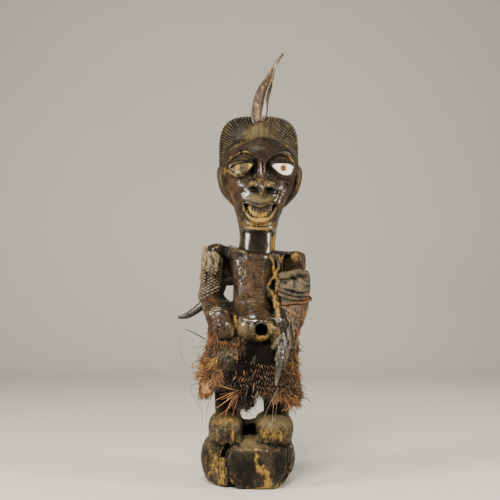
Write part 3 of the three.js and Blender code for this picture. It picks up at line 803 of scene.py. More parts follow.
def shape_body(clay):
    chest = [
        (4, 4, 150, 36, 40), (4.5, -2, 185, 36, 42), (5.5, -2, 225, 32, 36), (5.5, -3, 262, 31, 36),
        (4.5, -2, 296, 35.5, 38), (4, 1, 312, 36, 30),
    ]
    clay.join(column(chest, power=2.6, ends=5), blend=6)
    clay.join(limb([(-61, 6, 308, 14), (-42, 2, 312, 11), (0, 2, 303, 13)], 12), blend=5)
    clay.join(limb([(0, 2, 303, 13), (50, 4, 305, 10), (83, 5, 301, 11)], 12), blend=5)
    clay.join(slab((84, 5, 296), (13, 11, 16), soft=6), blend=3)
    clay.join(egg((-53, 0, 316), (13, 14, 11)), egg((8, -8, 304), (34, 30, 10)), blend=6)
    clay.join(slab((-20, -18, 309), (15, 17, 10), (0.15, 0.28, 0.1), 3), blend=4)
    clay.join(column([(14, 2, 296, 31, 31), (16, 1, 330, 30.5, 31), (18, 2, 366, 30.5, 32)]), blend=2)
    clay.join(egg((10, -24, 188), (37, 45, 38)), blend=14)
    hips = [(7, 8, 82, 44, 34), (7, 9, 105, 52, 41), (7, 9, 135, 50, 43), (5, 6, 165, 38, 40)]
    clay.join(column(hips, power=2.4, ends=10), blend=8)
    clay.join(slab((-43, 19, 290), (20, 7, 22)), slab((46, 20, 234), (24, 7, 28), soft=6), blend=9)
    clay.join(limb([(-60, 18, 268, 7), (-50, 20, 262, 7), (-42, 20, 264, 6), (-34, 18, 274, 7)]), blend=3)
    clay.join(limb([(-45, 8, 270, 6), (-42, 4, 254, 5), (-45, 2, 240, 4), (-38, -2, 227, 6)]), blend=3)
    webs = egg((-38, 8, 262), (6, 8, 6)), egg((-30, 4, 224), (7, 10, 5)), egg((-31, 6, 264), (9, 9, 9))
    clay.join(*webs, blend=3)
    clay.join(slab((50, 2, 279), (20, 9, 31)), blend=3)
    clay.join(slab((44, -10, 276), (10, 12, 32), soft=3), blend=3)
    clay.cut(slab((70, -14, 289), (10, 15, 19), (0, 0.1, 0), 3), blend=2)
    ragged = [(42, -16, 256, 6), (44, -22, 242, 7.5), (47, -30, 228, 8), (50, -38, 212, 8), (47, -46, 198, 7)]
    clay.join(limb(ragged), limb([(36, -14, 262, 5), (33, -24, 250, 4.5), (38, -26, 240, 6)]), blend=4)
    for x, z, size in PASTE_LUMPS:
        clay.join(egg((x, clay.front(x, z), z), (size, size * 0.7, size * 1.2)), blend=2)


def shape_arms(clay):
    clay.join(limb(LEFT_ARM), limb(RIGHT_ARM), blend=4)
    forearm = [(-65, 6, 236, 14), (-60, -14, 223, 18), (-50, -36, 205, 20), (-45, -50, 190, 19)]
    clay.join(limb(forearm), blend=4)
    clay.join(egg((-44, -52, 180), (22, 16, 20), turn=(0, 0.35, 0), power=2.2), blend=3)
    clay.join(egg((-42, -8, 213), (17, 22, 19)), blend=6)
    clay.join(limb([(79, -2, 226, 14), (68, -24, 208, 15), (54, -44, 190, 14), (45, -55, 172, 9)]), blend=4)
    clay.join(egg((40, -58, 180), (9, 9, 12)), egg((44, -56, 160), (8, 9, 12)), blend=5)
    clay.push(lambda x, z: strokes(x, z, TORSO_LINES + HAND_LINES), (-72, 158), (92, 326), 2)
    x, z = BELLY_HOLE
    rim = []
    for a in np.linspace(0, 2 * math.pi, 17):
        across, up = BELLY_RIM * math.cos(a), BELLY_RIM * math.sin(a)
        rim.append((x + across, -64 + 2 * math.sin(2 * a), z + up, 4.2 + 0.7 * math.sin(3 * a)))
    clay.join(limb(rim, 24), blend=4)
    clay.cut(limb([(x, -90, z, BELLY_HOLE_RADIUS), (x, -38, z, BELLY_HOLE_RADIUS)], 1), blend=1.2)


def shape_legs(clay):
    for x, foot_x, wide in zip(LEG_X, FOOT_X, FOOT_WIDE):
        leg = [(x, 18, -6, 20, 22), (x, 14, 30, 21, 22), (x, 8, 62, 22.5, 26), (x * 0.92, 8, 110, 25, 32)]
        clay.join(column(leg, power=2.3), blend=4)
        clay.join(egg((foot_x, -27, 17), (wide, 46, 29), power=3.0), blend=3)
    clay.join(limb([(-16, -30, 31, 5), (0, -34, 30, 4), (16, -30, 33, 5)]), blend=5)
    clay.join(limb([(26, 2, 38, 5), (17, 0, 33, 4), (14, -14, 24, 4), (17, -30, 8, 4)]), blend=4)
    clay.join(egg((3, -50, -3), (24, 25, 13), turn=(0.25, 0, 0)), blend=4)
    clay.cut(limb([(-9, -74, 44, 1.4), (-7, -60, 30, 2.4), (-8, -66, 12, 2.2), (-10, -74, 2, 1.5)]), blend=2)

    def toes(x, z):
        """Rounded toes with gaps between them, on the front of both feet."""
        total = 0
        for foot_x, wide in zip(FOOT_X, FOOT_WIDE):
            s = (x - foot_x) / wide
            reach = np.clip(s, -1, 1) * 2.5 + 0.15 * np.sin(z * 0.4)
            gap = np.abs(reach % 1 - 0.5)
            on = smooth(1.02, 0.9, np.abs(s)) * smooth(36, 6, z) * smooth(-8, -2, z)
            total += on * (1.6 * np.cos(math.pi * (0.5 - gap)) ** 0.7 - 1.5)
        return total

    clay.push(toes, (-70, -10), (80, 30), -30)


# Rows of the front lobe: height, place across and share of the base's half width.
LOBE = [(-71, 21, 0.40), (-60, 18.5, 0.49), (-45, 17, 0.565), (-25, 15.5, 0.605), (-8, 15, 0.6), (0, 15, 0.5)]


def shape_base(clay):
    wide, deep = 79.0, 80.0
    rings = [(-71, 0.8), (-64, 0.9), (-35, 1.0), (-13, 0.965), (0, 0.87)]
    drum = column([(0, 0, z, wide * s, deep * s) for z, s in rings], power=2.3, ends=2)
    clay.join(drum, blend=3)
    clay.cut(slab((-60, -60, -62), (30, 16, 60), (0, 0, -0.62), 4), blend=4)
    clay.cut(slab((81, -44, -62), (30, 15, 60), (0, 0, 1.07), 4), blend=4)
    lobe = [(x, -42, z, wide * s, deep * 0.86 * s + 2) for z, x, s in LOBE]
    clay.join(column(lobe, power=2.6, ends=6), blend=0.6)
    clay.cut(slab((-36, -62, -10), (3.4, 24, 14), (0, 0.42, 0), 2.0), blend=2)
    split = [(-36, -64, -16, 2.6), (-35, -64, -40, 3.4), (-31, -64, -56, 6), (-27, -64, -70, 9)]
    clay.cut(limb(split), blend=2)
    clay.cut(limb([(64, -44, 2, 3), (66, -46, -30, 4), (64, -50, -52, 5), (59, -56, -70, 8)]), blend=2)
    clay.cut(slab((-78, -40, -75), (34, 46, 12), (0, 0.3, 0), 3), blend=4)
    clay.cut(egg((76, -16, -73), (22, 40, 20)), blend=4)
    clay.cut(egg((5, -2, 0), (13, 26, 14)), blend=4)
    clay.join(slab((4, 30, 8), (26, 10, 17), soft=4), blend=4)
    clay.cut(slab((0, 0, -91), (200, 200, 20), soft=0.5), blend=0.4)


# The edge of the hair in front: across and height.
HAIRLINE = (
    [-41.3, -31, -17, -2.7, 8, 19.6, 32, 44, 56, 68, 79.5],
    [470, 479, 486.5, 493, 498, 502, 501, 498, 492, 485, 477],
)
# Cracks in the base: bearing and width, in radians.
CRACKS = ((-2.45, 0.014), (0.4, 0.02), (1.5, 0.016), (2.6, 0.014))


def above_hairline(points):
    """How far a point in front lies above the edge of the hair."""
    return points[:, 2] - np.interp(points[:, 0], *HAIRLINE)


def figure_relief(points):
    """Fine carving: the hair's grooves and rows, tool marks, checks and wear."""
    x, y, z = points.T
    height = lumps(points, (0.35, 3, 16), (0.18, 4, 5))
    turn = np.arctan2(z - RAYS_LEVEL, x - HEAD_X)
    height += 0.9 * hair_area(points) * (smooth(0.7, 1, np.abs(np.sin(turn * HAIR_RAYS))) - 0.5)
    belly = smooth(-20, -34, y) * smooth(206, 216, z) * smooth(300, 290, z) * smooth(46, 34, x)
    tool = np.sin(z * 1.2 + 4.5 * Lumps(6, 18)(points)) * (0.5 + 0.5 * Lumps(7, 14)(points))
    height += belly * (0.36 * tool + 0.7 * Lumps(15, 17)(points) + 0.4 * Lumps(16, 7)(points))
    low = smooth(6, -6, z)
    height += low * lumps(points, (0.9, 8, 9, (1, 1, 1.6)), (0.6, 9, 3.5, (1, 1, 2.4)))
    feet = smooth(46, 36, z) * smooth(-3, 3, z)
    height += feet * lumps(points, (0.8, 11, 9), (0.4, 12, 3.5))
    bearing = np.arctan2(y + 10, x - 4)
    for angle, width in CRACKS:
        drift = 0.05 * np.sin(z / 19 + angle * 5)
        groove = np.exp(-(((bearing - angle - drift) / width) ** 2))
        height = height - 1.6 * groove * low
    mass = smooth(266, 256, z) * smooth(146, 156, z) * smooth(32, 38, x) * smooth(64, 58, x)
    mass = mass * smooth(0, -10, y)
    height += mass * lumps(points, (1.6, 17, 5, (1, 1, 1.6)), (0.8, 18, 2.4))
    worn = smooth(316, 300, z) * smooth(62, 72, x) * smooth(-1, -8, y)
    height += worn * 1.2 * Lumps(10, 4, (1, 1, 4))(points)
    paunch = smooth(208, 200, z) * smooth(150, 158, z) * smooth(-34, -28, x) * smooth(-20, -34, y)
    height += paunch * lumps(points, (0.8, 19, 8), (0.5, 20, 3.4))
    hand = smooth(206, 198, z) * smooth(-20, -26, x) * smooth(-40, -50, y)
    return height + hand * lumps(points, (0.7, 13, 6), (0.5, 14, 2.6))


def hair_area(points):
    """The part of the hair that is cut into fine rays, away from the horn and the face."""
    x, y, z = points.T
    on = smooth(-3.5, -0.8, hair_form().distance(x, y, z)) * smooth(434, 448, z)
    on = on * np.maximum(smooth(3, 8, above_hairline(points)), smooth(-4, 8, y))
    return on * np.maximum(smooth(20, 30, np.hypot((x - 21) * 0.8, z - 505)), smooth(-20, 0, y))


# Pale lines seen from the front, [x, z, half width, strength]: worn edges and rubbed clay, with painted
# highlights along the brow and nose ridges.
OCHRE_AND_HIGHLIGHT_LINES = [
    [(-40, 452, 1.8, 0.7), (-37, 459, 1.6, 0.6), (-30, 466, 1.4, 0.5), (-21, 472, 1.4, 0.55),
     (-13, 474.5, 2, 0.7)],
    [(-8, 475, 3, 0.7), (-3, 475, 3.6, 0.8), (4, 472, 2.4, 0.6), (12, 468, 1.6, 0.45), (20, 463, 1.4, 0.4)],
    [(47, 472, 1.2, 0.4), (58, 474, 1.2, 0.4), (64, 472, 2.6, 1), (71, 467, 3.4, 1.1), (77, 461, 2.4, 1)],
    [(16.4, 459, 1.1, 0.5), (17.3, 450, 1.1, 0.5), (14.6, 442, 1.1, 0.45), (11, 435, 1.1, 0.4),
     (7.4, 429, 1.4, 0.4)],
    [(11.5, 431, 1.1, 0.5), (16, 427.5, 1.2, 0.6), (19.4, 420, 1.2, 0.6), (18, 412, 1.2, 0.5),
     (22, 402, 1.8, 0.8)],
    [(35, 428.5, 1.1, 0.5), (30.5, 424, 1.2, 0.6), (26, 415, 1.2, 0.6), (22.5, 403, 1.6, 0.8)],
    [(3.5, 420, 3, 0.5), (9, 420, 4.4, 0.7), (13.5, 418, 3, 0.5)],
    [(29.5, 417, 3, 0.55), (35, 418.5, 4.2, 0.75), (41.5, 418.5, 3, 0.55)],
    [(-9, 387, 1, 0.5), (-5, 376, 1.6, 0.8), (1, 367, 3.6, 1.1), (9, 361.5, 5.4, 1.3), (20, 360, 5.6, 1.3),
     (29, 361.5, 5.2, 1.3), (37, 366, 3.6, 1.1), (42, 373, 2.4, 0.9), (47, 382, 1.2, 0.6)],
    [(2, 385, 4, 0.7), (5, 376, 6, 0.85), (13, 371, 8, 0.95), (20, 369, 8, 0.9), (28, 371, 7, 0.75),
     (33, 378, 5, 0.5)],
    [(-9, 354, 2, 0.5), (-2, 350, 3.4, 0.66), (8, 348, 4.6, 0.8), (24, 347, 5, 0.85), (37, 348, 4.2, 0.75),
     (44, 350, 2, 0.5)],
    [(71, 418, 1.1, 0.4), (60, 408, 1.3, 0.55), (54, 399, 1.3, 0.5), (52, 383, 1, 0.4), (48, 362, 1, 0.4)],
    [(-32, 427, 1.2, 0.45), (-26, 402, 1.2, 0.45), (-19, 378, 1.3, 0.5), (-10, 358, 1.6, 0.6)],
    [(13, -5, 4, 0.8), (14, -15, 6, 0.95), (15, -26, 5.5, 0.95), (21, -34, 9, 1), (28, -43, 12, 0.95),
     (32, -56, 13, 0.95), (33, -70, 18, 0.9)],
    [(-8, -70, 4, 0.8), (20, -70, 4.5, 0.9), (44, -68, 5, 0.9), (56, -58, 2.5, 0.6)],
    [(68, -20, 2.4, 0.6), (68, -50, 3, 0.7)],
    [(19, 489, 0.8, 0.6), (27, 486, 0.8, 0.5)],
    [(24, 483, 0.9, 0.7), (31, 480, 0.9, 0.6)],
    [(-34, 448, 2.5, 0.6), (-29, 441, 3.4, 0.66), (-18, 435, 3.4, 0.66), (-6, 436, 2.4, 0.5)],
    [(-35, -10, 1.4, 0.5), (-36, -30, 1.4, 0.6), (-33, -50, 1.6, 0.7), (-20, -66, 2, 0.7)],
    [(62, -6, 1.4, 0.5), (63.5, -30, 1.4, 0.6), (60, -50, 1.6, 0.6)],
]

# Spots seen from the front: [x, z, half width, half height, strength].
OCHRE_SPOTS = [
    (-40, 448, 5, 8, 0.6), (80, 303, 7, 9, 0.7), (93, 290, 4, 14, 0.35), (22, 170, 14, 7, 0.85),
    (8, 174, 5, 8, 0.6), (36, 188, 7, 14, 0.6), (47, 190, 8, 26, 0.48), (43, 164, 8, 14, 0.5),
    (46, 236, 7, 12, 0.5), (50, 218, 8, 12, 0.5), (-22, 196, 4, 14, 0.8), (-36, 38, 20, 7, 0.6),
    (-24, 14, 7, 12, 0.6), (-50, 14, 14, 9, 0.4), (43, 16, 24, 12, 0.6), (42, 38, 20, 8, 0.35),
    (-50, -34, 17, 24, 0.62), (-42, -58, 11, 14, 0.6), (-64, -50, 6, 12, 0.45), (43, 327, 7, 15, 0.85),
    (18, 355, 34, 7, 0.62),
]

DUST_SPOTS = [
    (18, 506, 34, 20, 0.75), (-22, 488, 22, 5, 0.6), (62, 490, 22, 5, 0.6), (20, 397, 24, 7, 1),
    (-10, 465, 22, 5, 0.8), (56, 465, 22, 3.5, 0.5), (8, 421, 8, 5, 0.8), (35, 420, 9, 5, 0.8),
    (-48, 430, 8, 30, 0.4), (88, 430, 8, 30, 0.7), (-36, 36, 34, 14, 0.8), (43, 36, 34, 16, 1),
    (-60, 16, 12, 20, 0.5), (43, 12, 30, 16, 0.5), (2, 2, 26, 11, 0.85), (-4, 30, 14, 5, 0.3),
    (-6, 14, 4, 12, 0.6), (-50, -6, 26, 8, 0.6), (20, -14, 40, 14, 0.35), (-10, 182, 22, 20, 0.85),
    (8, 236, 26, 16, 0.35), (20, 270, 18, 20, 0.3), (34, 250, 6, 30, 0.4), (0, 312, 30, 4, 0.5),
    (44, 302, 12, 5, 0.6), (70, 290, 10, 20, 0.6),
]

# Dark lines seen from the front, [x, z, half width, strength]: painted shade in the grooves, under the
# eyelids, in the nostrils and mouth corners, along the lobe of the base, between and behind the feet and in
# the slits between the chest strips.
SHADE_LINES = [
    [(-33, 457, 1.4, 0.6), (-22, 462, 1.6, 0.9), (-6, 462, 1.6, 0.9), (6, 459, 1.4, 0.7)],
    [(40, 464, 1.2, 0.6), (50, 469, 1.3, 0.7), (62, 469, 1.3, 0.7), (72, 465, 1.2, 0.6)],
    [(39, 456, 1.2, 0.9), (56, 457.5, 1.3, 1), (76, 456, 1.2, 0.9)],
    [(11, 459, 3, 0.5), (11, 450, 3.4, 0.7), (7, 441, 3, 0.5)],
    [(24.5, 459, 1.3, 1), (24.5, 444, 1.3, 1)],
    [(4, 414.5, 1.6, 0.8), (9, 413.5, 2, 0.9), (14, 412, 1.6, 0.8)],
    [(28, 409.5, 1.8, 0.8), (34.5, 411, 2.4, 0.9), (41, 412.5, 1.8, 0.8)],
    [(-7, 388, 1.8, 1), (-3.5, 383, 3, 1.2), (-2.5, 378, 2.6, 1.2)],
    [(45.5, 387, 1.6, 1), (41, 379, 2.4, 1), (37, 372, 1.2, 1)],
    [(-13, 480, 1.8, 1), (-10, 471, 2, 1)],
    [(64.5, 423, 1.8, 1), (66, 422, 1.8, 1)],
    [(-12, 345, 1.2, 0.5), (2, 343, 1.4, 0.6), (19, 342, 1.4, 0.6), (36, 343, 1.4, 0.6), (47, 345, 1.2, 0.5)],
    [(-33, -12, 3, 1), (-34, -30, 2, 1), (-31, -50, 4, 1), (-25, -68, 9, 1)],
    [(64, 0, 2.4, 1), (66, -30, 2.6, 1), (64, -50, 3, 1), (59, -68, 4, 1)],
    [(44.5, 295, 1.8, 1), (46.5, 284, 2.6, 1), (46.5, 277, 1.4, 1)],
    [(42.5, 264, 1.2, 1), (42.8, 255, 4, 1), (41.5, 249, 5.4, 1)],
    [(56, 244, 4, 0.9), (60, 226, 4, 0.9), (60, 210, 4, 0.9)],
    [(-9, 46, 2, 1), (-8, 20, 3.4, 1), (-10, 4, 2.4, 1)],
    [(-60, 6, 3, 0.6), (-36, -4, 3, 0.9), (-14, 0, 3, 0.8)],
    [(18, 4, 2.4, 0.6), (44, -2, 2.6, 0.8), (70, 2, 2.4, 0.6)],
]

# Dark spots seen from the front: painted shade under the belly, hand and skirt, inside the belly's hole, in
# the recesses by the arms and between the feet, and darker wood on the neck, forehead, nose bridge and base.
SHADE_AND_DARK_SPOTS = [
    (70, 288, 12, 22, 0.5), (62, 260, 8, 14, 0.8), (-44, 286, 16, 34, 1.3), (-40, 244, 8, 26, 1.2),
    (18, 140, 36, 32, 1.1), (14, 158, 30, 8, 0.9), (-6, -36, 26, 24, 0.72), (52, -28, 12, 26, 0.72),
    (-2, -58, 16, 12, 0.6), (-34, 84, 30, 34, 1.1), (48, 84, 30, 34, 1.1), (9, 19, 6, 6, 1.2),
    (22, 183, 9.5, 9.5, 1), (60, 200, 7, 22, 0.6), (24, 478, 44, 14, 0.45), (17, 330, 8, 22, 0.55),
    (-34, 166, 16, 8, 0.8), (-44, 184, 22, 20, 0.3), (6, 164, 14, 8, 0.8), (24, 474, 48, 20, 0.55),
    (24, 456, 9, 14, 0.4),
]

# Where the wood is rubbed to a high gloss.
POLISH_SPOTS = [
    (-9, 404, 12, 12, 1.5), (50, 402, 10, 12, 1.5), (0, 330, 13, 22, 1.6), (34, 330, 13, 22, 1.6),
    (58, 474, 16, 5, 1.5), (26, 430, 10, 26, 0.3), (-8, 362, 6, 12, 0.7), (44, 362, 8, 14, 0.7),
    (-14, 277, 8, 11, 1.8), (-10, 256, 12, 9, 1.3), (-16, 300, 12, 10, 0.6), (-22, 314, 12, 8, 0.9),
    (-47, 318, 12, 9, 0.9), (-4, 205, 34, 15, 1.8), (44, 202, 12, 11, 1.6), (-48, 218, 22, 12, 1.6),
]

REDDISH_SPOTS = [
    (4, 262, 34, 46, 0.6), (-26, 405, 8, 50, 1.1), (60, 400, 8, 34, 0.4), (26, 478, 30, 10, 0.6),
    (24, 452, 8, 24, 0.5), (-56, 215, 22, 26, 0.8), (-42, 190, 22, 20, 1), (84, 284, 12, 24, 0.9),
    (-10, 310, 30, 8, 0.7), (18, 352, 30, 6, 0.6),
]


def blobs(points, spots, noise, ragged=0.35):
    """Soft spots in front view, [x, z, half width, half height, strength], fading from the middle."""
    x, y, z = points.T
    total = np.zeros(len(points))
    for cx, cz, a, b, strength in spots:
        away = np.sqrt(((x - cx) / a) ** 2 + ((z - cz) / b) ** 2) + ragged * noise
        total = np.maximum(total, strength * np.clip(1.45 - 0.9 * away, 0, 1))
    return total


def paint_figure(obj, clay, radius):
    """Stores where the carving is worn, dusty, sooty, rubbed and reddish."""
    points, normals = points_of(obj), read_vectors(obj.data.vertex_normals, "vector")
    x, y, z = points.T
    noise = lumps(points, (1, 21, 7), (0.6, 22, 2.6))
    wide = Lumps(23, 26)(points)
    front = smooth(24, -6, y)
    behind = 1 - front
    low = smooth(40, 0, z)
    above = above_hairline(points) + 1.2 * noise
    facing = smooth(0.2, -0.2, normals[:, 1]) * smooth(0, -10, y)
    hair = smooth(-3.5, -0.5, hair_form().distance(x, y, z)) * smooth(440, 460, z)
    bulge = clay.bulge(points, radius)
    edge = smooth(0.15, 0.8, bulge + 0.25 * noise)
    feet_gap = np.exp(-(((x - 2) / 16) ** 2) - ((z - 14) / 26) ** 2)
    face = np.exp(-(((x - 22) / 40) ** 2) - ((z - 395) / 34) ** 2)
    # Darker in the carving's hollows, less so between the feet and on the face: painted shade.
    pit = smooth(-0.15, -0.7, bulge + 0.15 * noise) * (1 - feet_gap) * (1 - 0.7 * face)
    ragged = smooth(330, 300, z) * 1.4 + smooth(362, 350, z) * 1.2 + 0.6
    across, up = x + ragged * noise, z + ragged * Lumps(24, 6)(points)
    strips = [[(a, b, c, 0.75) for a, b, c, _ in line] for line in CHEST_STRIPS]
    # Worn ochre along the lines, which on the brows and nose is also a painted highlight.
    worn = 1.5 * (0.75 + 0.35 * Lumps(25, 5)(points)) * strokes(across, up, OCHRE_AND_HIGHLIGHT_LINES + strips)
    hem = np.exp(-(((above - 1.5) / 2.2) ** 2)) * smooth(-14, -24, y)
    hem = hem * smooth(-44, -36, x) * smooth(86, 78, x)
    ochre = np.maximum.reduce([
        front * blobs(points, OCHRE_SPOTS, noise, 0.25),
        facing * np.clip(worn, 0, 1),
        behind * low * 0.8 * smooth(0.0, 0.7, wide + 0.4 * noise),
        edge * (0.2 + 0.22 * smooth(-0.2, 0.5, wide)) * (z < 520) * (1 - 0.7 * hair),
        0.4 * hem,
    ])
    dust = np.maximum.reduce([
        front * blobs(points, DUST_SPOTS, noise, 0.3),
        0.6 * smooth(0.45, 0.95, normals[:, 2]) * smooth(60, 30, z),
        0.6 * behind * hair,
        0.35 * behind * low,
    ])
    # Painted shade: near black in the listed spots and lines and in the carving's hollows, and darker wood in
    # a few spots.
    soot = np.maximum.reduce([
        front * blobs(points, SHADE_AND_DARK_SPOTS, noise, 0.2),
        0.75 * pit,
        facing * np.clip(1.3 * strokes(across, up, SHADE_LINES), 0, 1),
    ])
    polish = facing * blobs(points, POLISH_SPOTS, noise, 0.3) + 0.45 * edge + 0.25 * behind * (1 - low)
    paint(
        obj,
        ochre=ochre,
        dust=dust * (1 - 0.9 * smooth(2, -4, above) * smooth(474, 480, z) * front),
        soot=soot,
        polish=polish * (1 - 0.7 * hair),
        reddish=front * blobs(points, REDDISH_SPOTS, noise, 0.3) + 0.2 * behind,
        hatched=hair_area(points),
    )


def strokes(x, z, lines):
    """Heights of lines [x, z, half width, height] drawn on a front view, summed."""
    total = np.zeros(np.broadcast(x, z).shape)
    for line in lines:
        rows = spline(line, 5 * (len(line) - 1) + 1)
        best = np.full(total.shape, 9.0)
        height = np.zeros(total.shape)
        for a, b in zip(rows[:-1], rows[1:]):
            run = b[:2] - a[:2]
            t = ((x - a[0]) * run[0] + (z - a[1]) * run[1]) / (run @ run)
            t = np.clip(t, 0, 1)
            away = np.hypot(x - a[0] - t * run[0], z - a[1] - t * run[1])
            away = away / (a[2] + t * (b[2] - a[2]))
            height = np.where(away < best, a[3] + t * (b[3] - a[3]), height)
            best = np.minimum(best, away)
        total += height * smooth(1.0, 0.0, best)
    return total


# Lines on the front of the face: across, height, half width and how far the line stands out.
BROW_LINES = [
    [(-39, 456, 3, 1.5), (-32, 464.5, 3.2, 2.2), (-21, 470.5, 3.2, 2.8), (-12, 473.5, 3, 2.6)],
    [(-7, 476.5, 3.4, 3.2), (0.5, 472.5, 3.6, 3.2), (8.5, 469, 3.4, 2.8), (15.5, 463, 3, 2.4),
     (18, 456, 2.6, 1.6)],
    [(-13, 479, 2, -3), (-10, 471, 2.2, -4.6)],
    [(29, 456, 2.6, 1.6), (33, 461.5, 3, 2.2), (38, 466, 3.2, 3), (46, 471.5, 3.4, 3.4),
     (56, 474.5, 3.4, 3.6), (66, 474, 3.6, 3.6), (73.5, 469, 3.6, 3.4), (79, 460, 3, 2)],
    [(40, 461.5, 2, -1.4), (50, 468, 2.2, -2.4), (62, 469, 2.2, -2.4), (72, 465.5, 2.2, -2),
     (79, 458, 2, -1)],
    [(-34, 459, 2, -1), (-22, 465.5, 2.4, -1.8), (-8, 466.5, 2.4, -1.8), (4, 462, 2.2, -1.2)],
]

EYE_LINES = [
    [(-34, 450, 2, 1), (-27, 457, 2.2, 1.9), (-18, 459, 2.2, 2.2), (-6, 458.5, 2.2, 2.2),
     (4, 457, 2, 1.8), (9.5, 455.5, 1.8, 1)],
    [(-33, 446, 2.2, 1), (-27, 438.5, 2.4, 1.6), (-16, 434, 2.4, 1.8), (-5, 437, 2.2, 1.6),
     (4.5, 446, 2, 1.4), (9.5, 454.5, 1.8, 1)],
    [(36, 454, 2, 1), (42, 458.5, 2.2, 2.2), (56, 459.5, 2.2, 2.4), (70, 459, 2.2, 2.2), (80, 454, 2, 1.2)],
    [(35.5, 451.5, 2, 1), (44, 441.5, 2.2, 1.6), (54, 434, 2.4, 1.8), (66, 432.5, 2.4, 1.8),
     (77, 437, 2.2, 1.6), (80.5, 448, 2, 1.2)],
    [(12.5, 461, 6, -3), (13, 450, 7, -7), (9.5, 437, 7, -3.5)],
    [(32, 456, 4, -3), (32.5, 449, 5, -6), (36, 439, 5, -3)],
]

NOSE_LINES = [
    [(24, 462, 1.6, -1), (24.2, 455, 2.2, -4.4), (24.6, 445, 2, -3), (24.7, 438, 1.8, -0.8)],
    [(17.5, 459, 2, 1.2), (18.5, 450, 2, 1.8), (16, 442, 2, 2), (12, 435, 2.2, 2), (7.5, 428.5, 2.4, 2)],
    [(30.5, 458, 2, 1.2), (32.5, 446, 2, 1.8), (34.5, 437, 2.2, 2), (38, 429, 2.4, 2), (40, 424, 2.4, 1.8)],
    [(11.5, 430, 1.8, 1.6), (15.5, 427.5, 1.8, 2.6), (19, 421, 1.8, 2.8), (18, 413, 1.8, 2.4),
     (18.5, 407, 1.8, 2.2), (22, 402, 2.2, 2)],
    [(35.5, 428.5, 1.8, 1.6), (31, 425, 1.8, 2.6), (28, 419, 1.8, 2.8), (25.5, 412, 1.8, 2.4),
     (22, 402, 2.2, 2)],
    [(7.5, 429, 2.4, 2), (3.5, 424, 2.6, 3), (1, 417, 2.4, 3), (2.5, 410, 2, 1.8), (9, 408, 1.8, 1.2)],
    [(39, 428, 2.4, 2), (43, 422, 2.6, 3), (44.5, 414, 2.4, 3), (42, 408, 2, 1.8), (34, 405.5, 1.8, 1.2)],
    [(10, 424, 4.5, -1.6), (9.5, 417, 5, -2.4)],
    [(34, 422, 4.5, -1.6), (35, 415, 5.5, -2.4)],
    [(-14, 411, 9, 2.2), (-10, 406, 11, 4.4), (-5, 399, 8, 2)],
    [(51, 407, 9, 2.2), (48.5, 402, 10, 4.2), (46, 396, 8, 2)],
    [(-18, 397.5, 2, -0.6), (-5, 394.5, 2.2, -1.2), (6, 396.5, 2, -0.6)],
    [(64.5, 423, 2, -7), (65.8, 422, 2, -7)],
    [(71, 418, 1.6, 1.2), (60, 407, 1.6, 1.6), (54, 398, 1.6, 1.2)],
    [(-33, 427, 2.2, 1.2), (-26, 402.5, 2.2, 1.2), (-19, 378, 2.2, 1.2), (-12, 359, 2.2, 1)],
    [(64, 415, 2.2, 1.2), (56, 402.5, 2.2, 1.4), (51, 386, 2.2, 1.2), (48, 364, 2.2, 1)],
]

MOUTH_LINES = [
    [(-8, 391, 2, 1.4), (0, 391, 2.4, 2.2), (8.3, 387, 2.6, 2.6), (19.6, 382.5, 2.8, 2.8),
     (27.8, 385.5, 2.6, 2.6), (37.5, 388.5, 2.4, 2.2), (47, 391, 2, 1.4)],
    [(-9, 389, 1.8, 0.8), (-8, 382, 2.6, 2.2), (-4.5, 374, 3.4, 3.2), (1, 366, 4.2, 4),
     (9, 360, 5.4, 4.4), (19.6, 358.2, 6, 4.6), (29, 360.5, 5.2, 4.4), (37, 366, 4.2, 4),
     (43, 374, 3.4, 3.2), (47, 382, 2.6, 2.2), (48.5, 389, 1.8, 0.8)],
    [(-12, 354, 2, -1), (1.5, 351, 2.4, -1.6), (19.6, 350, 2.6, -1.8), (36, 351, 2.4, -1.6),
     (45, 355, 2, -1)],
]

# The edges of the open mouth: across and height.
UPPER_LIP = (
    [-9, -7, 0, 8.3, 19.6, 27.8, 37.5, 46.4, 48.5],
    [386, 389, 388.6, 384.4, 379.7, 383, 386.2, 389, 386],
)
LOWER_LIP = (
    [-9, -5, -0.7, 3.4, 8, 16.4, 24.5, 32.6, 39.1, 44, 48.5],
    [389, 384, 376.5, 369, 364.5, 362, 363.5, 368, 374.5, 383, 389],
)
TOOTH_PITCH = 4.9


def mouth_heights(x, z):
    """The open smile: teeth a little behind the lips, dark corners and gaps."""
    upper = np.interp(x, *UPPER_LIP)
    lower = np.interp(x, *LOWER_LIP)
    inside = smooth(0.0, 1.0, np.minimum(upper - z, z - lower))
    corner = smooth(19.0, 21.5, np.abs(x - MOUTH_X - 0.6 - 0.18 * (z - 380)))
    gap = np.abs((x - MOUTH_X) / TOOTH_PITCH % 1 - 0.5) * TOOTH_PITCH
    tooth = 0.6 - 1.7 * np.exp(-((gap / 0.6) ** 2))
    return inside * (-1.3 - 7.5 * corner + tooth * (1 - corner))


def carve_figure(settings):
    """The one carving, skinned in two pieces that meet in the crease under the chin."""
    step = settings.grain_step / MM
    head = Clay((-62, -98, 322), (104, 92, 556), step * 0.7)
    shape_head(head)
    shape_brows_and_eyes(head)
    shape_nose(head)
    shape_mouth(head)
    crest = crest_rows(0.4)
    head.cut(limb(np.c_[crest[:6, :3], crest[:6, 3] * 0.8], 8), blend=0.5)
    body = Clay((-90, -98, -73), (112, 92, 372), step)
    shape_body(body)
    shape_arms(body)
    shape_legs(body)
    shape_base(body)
    finish = wood_finish(settings)
    for name, clay, radius in (("carved_head", head, 2.6), ("carved_body", body, 4.0)):
        obj = skin_object(name, clay, figure_relief, FIGURE_TRIANGLES)
        paint_figure(obj, clay, radius)
        finish_piece(obj, finish, ["carved_figure"])


# Near blacks for painted shade: on the wood, and in the hollows of the hide.
SHADE_BLACK = (0.004, 0.0034, 0.0025)
HOLLOW_SHADE_BLACK = (0.006, 0.005, 0.003)


